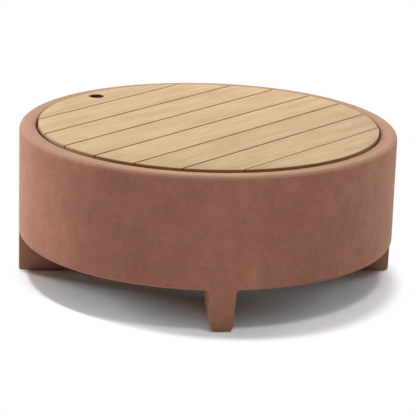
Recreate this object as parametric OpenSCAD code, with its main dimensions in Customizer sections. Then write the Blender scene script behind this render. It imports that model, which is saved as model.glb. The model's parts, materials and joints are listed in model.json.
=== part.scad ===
// Round gas fire table: a cast concrete drum on four blade legs, a lift-off slatted wooden lid,
// and the burner, ignition and gas train that it holds inside. Millimetres, +Z up, the origin on
// the floor under the middle of the drum. The legs lie on the X and Y axes; the controls face +Y.

/* [Drum] */
// Outside diameter of the drum
table_d = 1100; // [1060:10:1240]
// Height of the rim above the floor
rim_h = 439; // [425:1:500]
// Height of the underside above the floor
leg_h = 118; // [80:1:125]
// Thickness of the drum wall
wall_t = 26; // [20:1:34]
// Thickness of the drum floor
floor_t = 24; // [20:1:30]
// Radius of the rounding along the outside of the rim
rim_round = 12; // [4:1:20]
// Radius of the rounding along the inside of the rim
rim_inner_round = 3; // [1:0.5:5]
// Radius of the rounding along the bottom edge of the drum
foot_round = 9.5; // [4:0.5:14]
// Diameter of the open middle of the drum floor
base_hole_d = 420; // [380:10:480]

/* [Legs] */
// Width of a leg where it meets the drum
leg_top_w = 78; // [66:1:100]
// Width of a leg at the floor
leg_foot_w = 58; // [48:1:64]
// Length of a leg, from the wall towards the middle
leg_depth = 210; // [170:5:260]
// Radius of a leg's corners at the floor
leg_corner = 7; // [3:1:10]
// Radius of the fillet between a leg and the underside
leg_fillet = 10; // [4:1:16]
// Height of a leg's concrete above the floor
glide_show = 1.5; // [1:0.5:3]
// Diameter of the glides under the legs
glide_d = 30; // [20:1:36]
// Thickness of the glides
glide_t = 5; // [4:0.5:8]
// Distance of a leg's outer glide from the wall
glide_edge = 40; // [30:1:60]
// Distance between a leg's two glides
glide_pitch = 130; // [80:5:140]
// Diameter of a glide's pin
glide_pin_d = 6; // [4:0.5:8]
// Length of a glide's pin
glide_pin_l = 22; // [12:1:30]

/* [Seats] */
// Width of the ledge that the lid rests on
seat_w = 26; // [22:1:34]
// Depth of the pan's ledge under the lid's ledge
pan_drop = 34; // [32:1:44]
// Width of the ledge that the pan rests on
pan_seat_w = 26; // [20:1:34]
// Thickness of the beam under the pan's ledge
beam_t = 28; // [20:1:36]
// Height of the sloped haunch under the beam
haunch_h = 50; // [30:1:60]

/* [Lid] */
// Width of the rim, from the drum's outside to the lid's edge
rim_w = 54; // [48:1:70]
// Gap around the lid
lid_gap = 6; // [3:0.5:8]
// Height of the lid's face above the rim
lid_proud = 5.5; // [2:0.5:9]
// Thickness of the boards
board_t = 22; // [18:1:26]
// Number of boards
board_count = 8; // [6:1:10]
// How much wider the boards are than the lid before they are cut round
board_over = 24; // [8:1:60]
// Gap between two boards
board_gap = 3; // [2:0.5:6]
// Bevel along the edges of the boards
board_bevel = 1; // [0.5:0.25:2]
// Turn of the boards from the X axis, in degrees
board_turn = 46; // [0:1:90]
// Width of the battens under the boards
batten_w = 50; // [40:1:60]
// Thickness of the battens
batten_t = 24; // [18:1:26]
// Distance between the lid's edge and the corners of the outer battens
batten_edge = 30.4; // [24:0.2:40]
// Distance of the outer battens from the middle one, as a share of the lid's radius
batten_share = 0.383; // [0.3:0.001:0.39]
// Diameter of the finger hole
finger_d = 46; // [30:1:50]
// Distance of the finger hole's axis from the lid's edge
finger_in = 43; // [40:1:52]
// Shift of the finger hole along its board
finger_x = 15; // [-60:1:60]
// Diameter of the rubber pads under the boards' ends
bumper_d = 14; // [10:1:16]
// Thickness of those pads
bumper_t = 3; // [2:0.5:5]
// Distance of those pads' middles from the lid's edge
bumper_edge = 9.5; // [8:0.5:12]

/* [Burner pan] */
// Depth of the pan under its flange
pan_depth = 70; // [60:1:80]
// Sheet thickness of the pan
pan_t = 2; // [1.5:0.5:3]
// Gap around the pan's flange
pan_gap = 3; // [1:0.5:6]
// Gap around the pan's wall
pan_clear = 5; // [2:0.5:10]
// Inside radius of the pan's bottom corner
pan_corner = 10; // [4:1:16]
// Number of drain holes
drain_count = 8; // [4:1:12]
// Diameter of the drain holes
drain_d = 8; // [5:1:12]
// Height of the gap between the pan and the heat shield
shield_gap = 28; // [20:1:30]
// Sheet thickness of the heat shield
shield_t = 1.5; // [1:0.5:2]
// Distance between the pan's wall and the shield's edge
shield_inset = 30; // [26:1:40]
// Diameter of the shield's spacers
spacer_d = 10; // [8:1:14]

/* [Burner] */
// Diameter of the outer burner ring, at the middle of its tube
burner_d = 450; // [444:1:456]
// Diameter of the inner burner ring, at the middle of its tube
inner_ring_d = 230; // [226:1:234]
// Outside diameter of the burner tube
tube_d = 22; // [18:1:24]
// Wall of the burner tube
tube_wall = 1.5; // [1:0.5:2]
// Width that is pressed flat along the top of the burner tube, for the ports
port_flat_w = 7; // [5:0.5:9]
// Outside diameter of the burner's arms
arm_d = 14; // [12:1:17]
// Height of the burner tube above the pan floor
tube_lift = 6; // [4:1:8]
// Diameter of the hub that joins the burner's arms
hub_d = 56; // [44:1:60]
// Diameter of a flame port
port_d = 2.5; // [2:0.5:4]
// Distance between flame ports along a ring
port_pitch = 30; // [20:1:60]
// Outside diameter of the feed nipple
nipple_d = 21; // [18:0.5:24]
// Inside diameter of the feed nipple
nipple_bore = 15; // [10:0.5:16]
// Outside diameter of the air mixer
mixer_d = 34; // [30:1:40]
// Length of the air mixer
mixer_l = 66; // [60:1:70]
// Diameter of the mixer's air holes
air_hole_d = 10; // [6:1:14]

/* [Lava rock] */
// Gap between neighbours in the outer rows of rocks
rock_side_gap = 8; // [6:1:30]
// Width of the rocks between the burner rings
rock_w = 60; // [40:1:62]
// Room between the outer rows of rocks
rock_room = 9; // [7:1:29]
// Height of the rocks
rock_h = 56; // [40:1:58]
// Width of the small rocks on top of the burner rings
small_rock_w = 34; // [20:1:36]
// Height of the small rocks
small_rock_h = 30; // [20:1:32]

/* [Pilot] */
// Distance between the outer burner ring and the spark electrode
pilot_gap = 39; // [34:1:50]
// Distance between the electrode and the thermocouple
pilot_pitch = 28; // [22:1:36]
// Diameter of the electrode's ceramic
ceramic_d = 7; // [5:0.5:9]
// Diameter of the electrode's wire
spark_wire_d = 2.4; // [1.5:0.1:3]
// Diameter of the thermocouple
couple_d = 6; // [4:0.5:7]
// Inside width of the rock guard
guard_w = 68; // [64:1:74]
// Height of the rock guard
guard_h = 62; // [54:1:66]

/* [Controls] */
// Height of the knob's axis above the drum floor
ctrl_up = 84; // [80:1:90]
// Width of the control recess
tray_w = 176; // [160:1:180]
// Height of the control recess
tray_h = 74; // [68:1:78]
// Depth of the control recess
tray_depth = 34; // [33:1:38]
// Sheet thickness of the control box
tray_t = 1.5; // [1:0.5:2]
// Width of the control box's flange past the recess, on each side
flange_w = 18; // [17:1:22]
// Distance of the knob and the igniter from the middle of the recess
knob_off = 42; // [36:1:50]
// Diameter of the knob
knob_d = 44; // [36:1:50]
// Thickness of the knob's body
knob_t = 18; // [16:1:20]
// Width of the knob's grip bar
grip_w = 12; // [8:1:16]
// Height of the grip bar
grip_h = 6; // [4:1:7]
// Travel of the knob when it is pushed
knob_travel = 3; // [2:0.5:3]
// Diameter of the scale plate behind the knob
bezel_d = 58; // [54:1:66]
// Diameter of the igniter button
button_d = 14; // [10:1:16]
// Travel of the igniter button
button_travel = 6; // [3:0.5:7]
// Outside diameter of the igniter's body
igniter_d = 22; // [20:1:26]
// Length of the igniter's body behind the recess
igniter_l = 52; // [46:1:60]

/* [Gas train] */
// Outside diameter of the gas tube and the burner hose
gas_d = 12; // [10:1:13]
// Inside diameter of the gas ways
gas_bore = 8; // [6:0.5:9]
// Diameter of the threaded male ends
male_d = 14; // [13.5:0.5:15]
// Width across flats of the flare nuts
nut_af = 19; // [18:1:22]
// Length of the flare nuts
nut_l = 14; // [12:1:16]
// Height of the supply tube's axis above the drum floor
supply_up = 20; // [18:1:24]
// Bend radius of the supply tube
supply_bend = 22; // [18:1:24]
// Diameter of the shut-off valve's body
shutoff_d = 30; // [28:1:32]
// Length of the shut-off lever from its axis to its end
lever_l = 75; // [60:1:90]
// Width of the shut-off lever
lever_w = 16; // [12:1:20]
// Diameter of the thermocouple's lead
couple_lead_d = 3; // [2:0.5:4]
// Diameter of the spark lead
spark_lead_d = 5; // [3:0.5:6]

/* [Fits] */
// Clearance at each side of a turning or sliding fit
run_fit = 0.05; // [0.02:0.01:0.1]
// Clearance at each side of a bolt or a pressed piece
snug = 0.1; // [0.05:0.05:0.3]
// Gap under a piece that only rests
rest_gap = 0.3; // [0.1:0.1:0.5]

/* [Hidden] */
$fn = 96;

// How far a cutting shape runs past the face it opens
cut = 1;
// How far the legs' outer faces stay inside the wall's own face
leg_sink = 0.3;
// How far a leg's top runs up into the wall, above the rounding
leg_root = 4;

// Levels and radii of the drum
table_r = table_d / 2;
wall_in_r = table_r - wall_t;
base_hole_r = base_hole_d / 2;
floor_top = leg_h + floor_t;
lid_r = table_r - rim_w;
lid_open_r = lid_r + lid_gap;
pan_open_r = lid_open_r - seat_w;
bowl_r = pan_open_r - pan_seat_w;
lid_top = rim_h + lid_proud;
board_z = lid_top - board_t;
batten_z = board_z - batten_t;
seat_z = board_z - bumper_t - rest_gap;
pan_seat_z = seat_z - pan_drop;
beam_z = pan_seat_z - beam_t;

// Legs
leg_in_r = table_r - leg_depth;
leg_slope = (leg_top_w - leg_foot_w) / 2 / leg_h;
leg_lean = atan(leg_slope);
leg_top_z = leg_h + foot_round + leg_root;

// Lid: its screws, and how far the end boards' screws and pads lie from their inner edges
batten_bevel = 4;
batten_pitch = lid_r * batten_share;
batten_out = batten_pitch + batten_w / 2;
batten_l = 2 * sqrt(pow(lid_r - batten_edge, 2) - batten_out * batten_out);
board_pitch = (2 * lid_r + board_over) / board_count;
finger_y = lid_r - finger_in;
screw_d = 4.5;
screw_head_d = 9;
screw_head_h = 3;
screw_l = batten_t + board_t - 8;
end_screw_in = 16;
end_pad_in = 5;

// Fasteners of the burner and the controls
drive_share = 0.4;
drive_depth = 1.2;
m4_d = 4;
m4_head_d = 7.5;
m4_head_h = 2.6;
m4_l = 9;
m5_d = 5;
m5_head_d = 9.5;
m5_head_h = 3;
m5_l = 12;
insert_d = 9;
insert_l = 14;

// Pan, burner and shield
pan_flange_r = pan_open_r - pan_gap;
pan_wall_r = bowl_r - pan_clear;
pan_top = pan_seat_z + pan_t;
pan_floor = pan_top - pan_depth;
pan_under = pan_floor - pan_t;
shield_top = pan_under - shield_gap;
shield_z = shield_top - shield_t;
burner_r = burner_d / 2;
inner_ring_r = inner_ring_d / 2;
tube_z = pan_floor + tube_lift + tube_d / 2;
port_flat_up = sqrt(tube_d * tube_d - port_flat_w * port_flat_w) / 2;
arm_end = 8;
hub_cap = 4;
hub_h = tube_lift + tube_d + hub_cap;
socket_h = 20;
locknut_h = 8;
locknut_af = 34;
nipple_drop = 30;
nipple_z0 = pan_under - nipple_drop;
mixer_grip = 15;
mixer_top = nipple_z0 + mixer_grip;
mixer_z = mixer_top - mixer_l;
mixer_wall = 3;
mixer_bottom = 12;
air_room_h = 22;
orifice_hex_h = 10;
orifice_af = 17;
orifice_d = 11;
orifice_l = 16;
orifice_tip = 4;
jet_d = 2;
male_l = 12;
elbow_d = 18;
elbow_side_d = 16;
elbow_neck = 7;
elbow_z = mixer_z - orifice_hex_h - elbow_d / 2 - elbow_neck;
elbow_reach = 37;
mixer_hole_d = mixer_d + 12;

// Pilot beside the outer ring, in line with the controls
pilot_y = burner_r + pilot_gap;
bracket_t = 1.5;
bracket_w = 60;
shelf_z = pan_floor + 33;
shelf_depth = 21;
bracket_screw_x = pilot_pitch / 2 + 10;
bracket_screw_y = pilot_y + 8;
bracket_y0 = pilot_y - 11;
bracket_depth = 25;
guard_t = 1.2;
guard_y0 = pilot_y - 16;
guard_depth = 44;
guard_tab = 14;
guard_screw_x = guard_w / 2 + guard_t + guard_tab / 2;
slot_w = 6;
slot_pitch = 12;
slot_margin = 14;
pilot_hole_d = ceramic_d + 2;
ceramic_z0 = pan_under - 12;
ceramic_z1 = pan_floor + 44;
tip_z = ceramic_z1 + 6;
tip_l = 20;
couple_z1 = pan_floor + 48;
lead_hole_d = pilot_pitch + 28;
lead_drop = 70;
lead_reach = 90;

// Three rows of rocks outside the burner. The spacers and drain holes sit between the first two
outer_step = (pan_wall_r - pan_t - burner_r - tube_d / 2) / 3;
spacer_r = burner_r + tube_d / 2 + outer_step;
outer_rock_w = outer_step - rock_room;

// Rocks: sides of a lump, and the gaps that they keep
rock_sides = 5;
rock_gap = 4;
small_rock_gap = 12;

// Controls: y runs out of the drum's back
ctrl_z = floor_top + ctrl_up;
flange_full_w = tray_w + 2 * flange_w;
flange_full_h = tray_h + 2 * flange_w - 6;
flange_sink = 0.7;
flange_y = sqrt(table_r * table_r - flange_full_w * flange_full_w / 4) - flange_sink;
pocket_y = flange_y - tray_t;
tray_floor = flange_y - tray_depth;
tray_back = tray_floor - tray_t;
flange_r = 8;
tray_r = 6;
tray_fit = 1;
back_w = flange_full_w + 2 * tray_fit + 36;
box_screw_x = tray_w / 2 + 10;
box_screw_z = flange_full_h / 2 - 8;
box_head_h = flange_sink + 1.5;
knob_x = -knob_off;
igniter_x = knob_off;

// Control valve, from front to back
neck_d = 12;
bezel_t = 0.8;
panel_nut_h = 4;
panel_nut_af = 18;
neck_end = tray_floor + bezel_t + panel_nut_h + 1;
bonnet_d = 28;
bonnet_l = 18;
valve_w = 40;
valve_h = 46;
valve_l = 34;
valve_front = tray_back - bonnet_l;
valve_rear = valve_front - valve_l;
plug_d = 20;
plug_l = 24;
plug_y = valve_rear + 4;
stem_d = 8;
tail_w = 5.6;
tail_l = 12;
socket_l = 13;
shaft_d = 6;
knob_back = tray_floor + bezel_t + knob_travel + 0.7;
knob_recess_d = 30;
knob_recess = 8;
grip_inset = 3;
stem_back = plug_y + plug_l + knob_travel + 1;
stem_end = knob_back + knob_t - 3;
outlet_z = ctrl_z - 11;
outlet_l = 14;
magnet_z = ctrl_z + 13;
magnet_d = 16;
magnet_can_l = 20;
magnet_l = 28;
magnet_af = 10;
magnet_thread_d = 12;
magnet_grip = 3;
magnet_y = valve_rear - magnet_l;
boss_y = valve_rear + valve_l / 2;
boss_z = ctrl_z - valve_h / 2 - 10;

// Igniter
collar_t = 2.5;
collar_d = igniter_d + 6;
igniter_rear = tray_back - igniter_l;
button_rear = tray_floor - 27;
button_front = tray_floor + 14;
button_dome_r = 1.8 * button_d;
spring_shut = 4.5;
spring_wall = 1.5;
bore_end = button_rear - button_travel - spring_shut;
terminal_d = 6;
terminal_l = 10;
igniter_nut_h = 5;
igniter_nut_af = igniter_d + 8;

// Supply: the shut-off valve in the open middle, a bracket on the floor, and a tube to the valve
supply_z = floor_top + supply_up;
bracket_y = sqrt(base_hole_r * base_hole_r - knob_x * knob_x) + 10;
upright_t = 3;
upright_w = 50;
upright_h = supply_up + 17;
foot_l = 44;
foot_screw_x = upright_w * 0.3;
foot_screw_y = bracket_y + foot_l * 0.6;
bracket_nut_h = 5;
bracket_nut_af = 22;
neck_out_y = bracket_y + upright_t + bracket_nut_h + 8;
shutoff_y = bracket_y - 48;
shutoff_l = 40;
ball_d = 18;
shutoff_stem_d = 8;
stem_foot_z = supply_z + ball_d / 2 - 2;
bonnet_h = 18;
lever_z = supply_z + bonnet_h + 4;
lever_t = 2.5;
lever_nut_h = 5;
lever_nut_af = 9;
lever_hole_d = 6;
inlet_body_d = male_d + 4;
inlet_grip = 8;
inlet_show = 2;
shutoff_end = shutoff_y - shutoff_l / 2;
inlet_y = shutoff_end - 22;
inlet_z = supply_z - 34;

// Where the hose and the leads start and end, and how far they run straight on
hose_reach_a = 150;
hose_reach_b = 130;
hose_a = [0, elbow_reach, elbow_z];
hose_b = [knob_x, valve_rear - outlet_l, outlet_z];
couple_a = [-pilot_pitch / 2, pilot_y, ceramic_z0];
couple_b = [knob_x, magnet_y, magnet_z];
spark_a = [pilot_pitch / 2, pilot_y, ceramic_z0];
spark_b = [igniter_x, igniter_rear - terminal_l, ctrl_z];

concrete = [0.60, 0.40, 0.33];
teak = [0.84, 0.72, 0.54];
steel = [0.74, 0.75, 0.76];
brass = [0.80, 0.65, 0.35];
copper = [0.78, 0.48, 0.33];
black = [0.12, 0.12, 0.13];

function mix3(a, b, t) = a * (1 - t) + b * t;
function bezier(p, t) = let (a = mix3(p[0], p[1], t), b = mix3(p[1], p[2], t), c = mix3(p[2], p[3], t))
    mix3(mix3(a, b, t), mix3(b, c, t), t);
function unit(v) = v / norm(v);
function slope3(p, t) = let (a = p[1] - p[0], b = p[2] - p[1], c = p[3] - p[2])
    unit(mix3(mix3(a, b, t), mix3(b, c, t), t));

// A round tube along one smooth curve, with flat square ends
module curved_tube(p, d, sides, rings) {
    function ring(k) = let (t = k / rings, f = slope3(p, t), u = unit(cross(f, [1, 0, 0])), v = cross(f, u))
        [for (i = [0:sides - 1]) let (a = 360 * i / sides) bezier(p, t) + d / 2 * (u * cos(a) + v * sin(a))];
    pts = [for (k = [0:rings]) each ring(k)];
    wall = [for (k = [0:rings - 1], i = [0:sides - 1])
        let (a = k * sides + i, b = k * sides + (i + 1) % sides)
        each [[a, b, b + sides], [a, b + sides, a + sides]]];
    last = rings * sides;
    caps = [for (i = [1:sides - 2]) each [[0, i + 1, i], [last, last + i, last + i + 1]]];
    polyhedron(points = pts, faces = concat(wall, caps), convexity = 6);
}

// A cylinder along Y, from y0 to y1
module rod_y(x, z, d, y0, y1) translate([x, y0, z]) rotate([-90, 0, 0]) cylinder(d = d, h = y1 - y0);

// A cylinder along Z, from z0 to z1
module rod_z(x, y, d, z0, z1) translate([x, y, z0]) cylinder(d = d, h = z1 - z0);

// A hexagonal prism, af across its flats
module hex(af, h) cylinder(d = af / cos(30), h = h, $fn = 6);

// What a round of radius r removes from a square corner that points to +X and +Y
module corner_cut(r) difference() {
    square(r + cut);
    circle(r);
}

module round_rect(w, h, r) {
    square([w - 2 * r, h], center = true);
    square([w, h - 2 * r], center = true);
    for (x = [-1, 1], y = [-1, 1]) translate([x * (w / 2 - r), y * (h / 2 - r)]) circle(r);
}

// A rounded plate in the plane of the control box, from y0 to y1
module plate_y(w, h, r, y0, y1) translate([0, y0, ctrl_z]) rotate([-90, 0, 0])
    linear_extrude(y1 - y0) round_rect(w, h, r);

// A screw whose head rests at the origin and whose shank points to -Z
module screw(d, l, head_d, head_h) {
    translate([0, 0, -l]) cylinder(d = d, h = l);
    difference() {
        intersection() {
            cylinder(d = head_d, h = head_h);
            translate([0, 0, head_h - head_d]) sphere(r = head_d);
        }
        translate([0, 0, head_h - drive_depth]) hex(head_d * drive_share, drive_depth + cut);
    }
}

// Half width of a leg's side face at height z
function leg_x(z) = leg_foot_w / 2 + leg_slope * z;

// The drum's section, from its open middle to the outside
module drum_section() difference() {
    polygon([[base_hole_r, leg_h], [table_r, leg_h], [table_r, rim_h], [lid_open_r, rim_h],
        [lid_open_r, seat_z], [pan_open_r, seat_z], [pan_open_r, pan_seat_z], [bowl_r, pan_seat_z],
        [bowl_r, beam_z], [wall_in_r, beam_z - haunch_h], [wall_in_r, floor_top],
        [base_hole_r, floor_top]]);
    translate([table_r - rim_round, rim_h - rim_round]) corner_cut(rim_round);
    translate([table_r - foot_round, leg_h + foot_round]) mirror([0, 1]) corner_cut(foot_round);
    translate([lid_open_r + rim_inner_round, rim_h - rim_inner_round]) mirror([1, 0])
        corner_cut(rim_inner_round);
}

// A leg's section across its length: leaning sides, rounded at the floor, filleted at the drum
module leg_section() {
    fillet_z = leg_h - leg_fillet;
    fillet_x = leg_x(fillet_z) + leg_fillet / cos(leg_lean);
    fillet_low = fillet_z + leg_fillet * sin(leg_lean);
    foot_x = leg_x(glide_show + leg_corner) - leg_corner / cos(leg_lean);
    foot_top = glide_show + leg_corner * (1 - sin(leg_lean));
    difference() {
        union() {
            polygon([[-leg_x(glide_show), glide_show], [leg_x(glide_show), glide_show],
                [leg_x(leg_h), leg_h], [leg_x(leg_h), leg_top_z],
                [-leg_x(leg_h), leg_top_z], [-leg_x(leg_h), leg_h]]);
            translate([-fillet_x, fillet_low]) square([2 * fillet_x, leg_top_z - fillet_low]);
        }
        for (s = [0, 1]) mirror([s, 0]) {
            translate([fillet_x, fillet_z]) circle(leg_fillet);
            difference() {
                translate([foot_x, glide_show - cut])
                    square([leg_corner + cut, foot_top - glide_show + cut]);
                translate([foot_x, glide_show + leg_corner]) circle(leg_corner);
            }
        }
    }
}

// What a leg may fill: inside the wall's face, rounded at the floor
module leg_envelope() rotate_extrude() difference() {
    translate([0, glide_show]) square([table_r - leg_sink, leg_top_z - glide_show]);
    translate([table_r - leg_sink - leg_corner, glide_show + leg_corner]) mirror([0, 1])
        corner_cut(leg_corner);
}

module each_leg() for (a = [0:90:270]) rotate([0, 0, a]) children();

// The two glides of one leg
module each_glide() each_leg() for (k = [0, 1])
    translate([table_r - glide_edge - k * glide_pitch, 0, 0]) children();

module insert_places() {
    for (x = [-1, 1], z = [-1, 1]) translate([x * box_screw_x, pocket_y, ctrl_z + z * box_screw_z])
        rotate([-90, 0, 0]) children();
    for (x = [-1, 1]) translate([knob_x + x * foot_screw_x, foot_screw_y, floor_top]) children();
}

// What the control box and the threaded inserts take out of the casting
module recess() {
    plate_y(tray_w + 2 * tray_fit, tray_h + 2 * tray_fit, tray_r + tray_fit, 0, table_r + cut);
    plate_y(flange_full_w + 2 * tray_fit, flange_full_h + 2 * tray_fit, flange_r + tray_fit, pocket_y,
        table_r + cut);
    insert_places() translate([0, 0, -insert_l - snug])
        cylinder(d = insert_d + 2 * snug, h = insert_l + cut);
}

// The whole casting. It is one piece, handed over in five slices, so that each keeps its hollow open
module casting() difference() {
    union() {
        rotate_extrude($fn = 180) drum_section();
        intersection() {
            each_leg() translate([leg_in_r, 0, 0]) rotate([90, 0, 90])
                linear_extrude(leg_depth) leg_section();
            leg_envelope($fn = 180);
        }
    }
    recess();
    each_glide() {
        cylinder(d = glide_d + 2 * snug, h = glide_t);
        cylinder(d = glide_pin_d + 2 * snug, h = glide_t + glide_pin_l + snug);
    }
}

module casting_slice(z0, z1) color(concrete) intersection() {
    casting();
    translate([-table_r, -table_r, z0]) cube([table_d, table_d, z1 - z0]);
}

module drum_rim() casting_slice(beam_z - haunch_h, rim_h + cut);

module wall_ring() rotate_extrude($fn = 180) translate([wall_in_r, floor_top])
    square([wall_t, beam_z - haunch_h - floor_top]);

module back_block() translate([-back_w / 2, 0, leg_h]) cube([back_w, table_d, rim_h]);

module drum_wall() color(concrete) difference() {
    wall_ring();
    back_block();
}

// The part of the wall that holds the control recess
module drum_back() color(concrete) difference() {
    intersection() {
        wall_ring();
        back_block();
    }
    recess();
}

module drum_floor() casting_slice(leg_h, floor_top);

module drum_legs() casting_slice(0, leg_h);

module leg_glides() color(black) each_glide() {
    cylinder(d = glide_d, h = glide_t);
    cylinder(d = glide_pin_d, h = glide_t + glide_pin_l);
}

module threaded_inserts() color(brass) insert_places() difference() {
    translate([0, 0, -insert_l]) cylinder(d = insert_d, h = insert_l);
    translate([0, 0, -insert_l - cut]) cylinder(d = m5_d + 2 * snug, h = insert_l + 2 * cut);
}

// The lid's own frame: boards along local X, counted across from +Y
module lid_frame() rotate([0, 0, board_turn]) children();

function board_y(i) = (board_count + 1 - 2 * i) / 2 * board_pitch;

function is_end(i) = i == 1 || i == board_count;

// Where the screws of board i cross batten j: the end boards have one row, near their inner edge
function screw_rows(i) = is_end(i)
    ? [sign(board_y(i)) * (board_pitch * (board_count / 2 - 1) + board_gap / 2 + end_screw_in)]
    : [board_y(i) - board_pitch / 4, board_y(i) + board_pitch / 4];

module screw_places(i, j) for (y = screw_rows(i)) translate([j * batten_pitch, y, batten_z]) children();

module board_solid(i) {
    y = board_y(i);
    w = is_end(i) ? board_pitch * 2 : board_pitch - board_gap;
    shift = is_end(i) ? sign(y) * (board_pitch + board_gap) / 2 : 0;
    intersection() {
        translate([0, 0, board_z]) rotate_extrude($fn = 180) polygon([[0, 0], [lid_r, 0],
            [lid_r, board_t - board_bevel], [lid_r - board_bevel, board_t], [0, board_t]]);
        translate([-lid_r, y + shift, board_z]) rotate([90, 0, 90]) linear_extrude(2 * lid_r)
            polygon([[-w / 2, 0], [w / 2, 0], [w / 2, board_t - board_bevel],
                [w / 2 - board_bevel, board_t], [board_bevel - w / 2, board_t],
                [-w / 2, board_t - board_bevel]]);
    }
}

module lid_board(i) color(teak) lid_frame() difference() {
    board_solid(i);
    for (j = [-1:1]) screw_places(i, j) cylinder(d = screw_d + 2 * snug, h = screw_l + snug);
    if (i == 1) rod_z(finger_x, finger_y, finger_d, board_z - cut, lid_top + cut);
}

module lid_battens() color(teak) lid_frame() for (j = [-1:1]) difference() {
    translate([j * batten_pitch, batten_l / 2, batten_z]) rotate([90, 0, 0])
        linear_extrude(batten_l) polygon([[-batten_w / 2, batten_t], [-batten_w / 2, batten_bevel],
            [batten_bevel - batten_w / 2, 0], [batten_w / 2 - batten_bevel, 0],
            [batten_w / 2, batten_bevel], [batten_w / 2, batten_t]]);
    for (i = [1:board_count]) screw_places(i, j)
        translate([0, 0, -cut]) cylinder(d = screw_d + 2 * snug, h = batten_t + 2 * cut);
}

module lid_screws() color(steel) lid_frame() for (i = [1:board_count], j = [-1:1])
    screw_places(i, j) mirror([0, 0, 1]) screw(screw_d, screw_l, screw_head_d, screw_head_h);

module lid_bumpers() color(black) lid_frame() for (i = [1:board_count], s = [-1, 1]) {
    r = lid_r - bumper_edge;
    y = is_end(i) ? sign(board_y(i)) * (abs(board_y(i)) - end_pad_in) : board_y(i);
    rod_z(s * sqrt(r * r - y * y), y, bumper_d, board_z - bumper_t, board_z);
}

// The places of the screws in the pan's floor
module spacer_places() for (a = [45:90:315]) rotate([0, 0, a]) translate([spacer_r, 0, 0]) children();

module bracket_screw_places() for (s = [-1, 1])
    translate([s * bracket_screw_x, bracket_screw_y, 0]) children();

module guard_screw_places() for (s = [-1, 1]) translate([s * guard_screw_x, pilot_y, 0]) children();

// What the shank of a pan screw needs in a sheet that is t thick
module m4_hole(t) translate([0, 0, -cut]) cylinder(d = m4_d + 2 * snug, h = t + 2 * cut);

module m4_screw() screw(m4_d, m4_l, m4_head_d, m4_head_h);

module pan_section() {
    translate([pan_wall_r - pan_t, pan_seat_z]) square([pan_flange_r - pan_wall_r + pan_t, pan_t]);
    difference() {
        translate([0, pan_under]) square([pan_wall_r, pan_depth + pan_t]);
        translate([0, pan_floor]) square([pan_wall_r - pan_t - pan_corner, pan_depth + cut]);
        translate([0, pan_floor + pan_corner]) square([pan_wall_r - pan_t, pan_depth + cut]);
        translate([pan_wall_r - pan_t - pan_corner, pan_floor + pan_corner]) circle(pan_corner);
        translate([pan_wall_r - pan_corner - pan_t, pan_floor + pan_corner]) mirror([0, 1])
            corner_cut(pan_corner + pan_t);
    }
}

module burner_pan() color(steel) difference() {
    rotate_extrude($fn = 180) pan_section();
    rod_z(0, 0, nipple_d + 2 * snug, pan_under - cut, pan_floor + cut);
    translate([0, 0, pan_under]) {
        spacer_places() m4_hole(pan_t);
        bracket_screw_places() m4_hole(pan_t);
        guard_screw_places() m4_hole(pan_t);
    }
    for (s = [-1, 1]) rod_z(s * pilot_pitch / 2, pilot_y, pilot_hole_d, pan_under - cut, pan_floor + cut);
    for (i = [0:drain_count - 1]) rotate([0, 0, 360 / drain_count * (i + 0.25)])
        rod_z(spacer_r, 0, drain_d, pan_under - cut, pan_floor + cut);
}

// A ring of burner tube, smaller by inset all round, with a flat along its top
module ring_tube(r, inset) translate([0, 0, tube_z]) rotate_extrude() translate([r, 0]) intersection() {
    circle(d = tube_d - 2 * inset);
    translate([-tube_d / 2, -tube_d / 2]) square([tube_d, tube_d / 2 + port_flat_up - inset]);
}

// The four arms' cylinders between two radii
module burner_arms(d, r0, r1) for (a = [45:90:315]) rotate([0, 0, a]) translate([r0, 0, tube_z])
    rotate([0, 90, 0]) cylinder(d = d, h = r1 - r0);

module ports(r) {
    n = floor(2 * PI * r / port_pitch);
    for (i = [0:n - 1]) rotate([0, 0, 360 * (i + 0.5) / n]) translate([r, 0, tube_z])
        cylinder(d = port_d, h = tube_d, $fn = 16);
}

module burner_rings() color(steel) difference() {
    for (r = [burner_r, inner_ring_r]) ring_tube(r, 0);
    for (r = [burner_r, inner_ring_r]) {
        ring_tube(r, tube_wall);
        ports(r);
    }
    burner_arms(arm_d + 2 * snug, inner_ring_r - tube_d, inner_ring_r + tube_d);
    burner_arms(arm_d + 2 * snug, burner_r - tube_d, burner_r);
}

// The hub with its inner arms, and the outer arms. The arms end inside the rings' tubes.
module burner_hub() color(steel) {
    difference() {
        union() {
            rod_z(0, 0, hub_d, pan_floor, pan_floor + hub_h);
            burner_arms(arm_d, hub_d / 4, inner_ring_r - arm_end);
        }
        burner_arms(arm_d - 2 * tube_wall, 0, inner_ring_r);
        rod_z(0, 0, nipple_d + 2 * snug, pan_floor - cut, pan_floor + socket_h);
        rod_z(0, 0, nipple_bore, pan_floor, pan_floor + hub_h - hub_cap);
    }
    difference() {
        burner_arms(arm_d, inner_ring_r + arm_end, burner_r - arm_end);
        burner_arms(arm_d - 2 * tube_wall, inner_ring_r, burner_r);
    }
}

module feed_nipple() color(brass) difference() {
    rod_z(0, 0, nipple_d, nipple_z0, pan_floor + socket_h);
    rod_z(0, 0, nipple_bore, nipple_z0 - cut, pan_floor + socket_h + cut);
}

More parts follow.
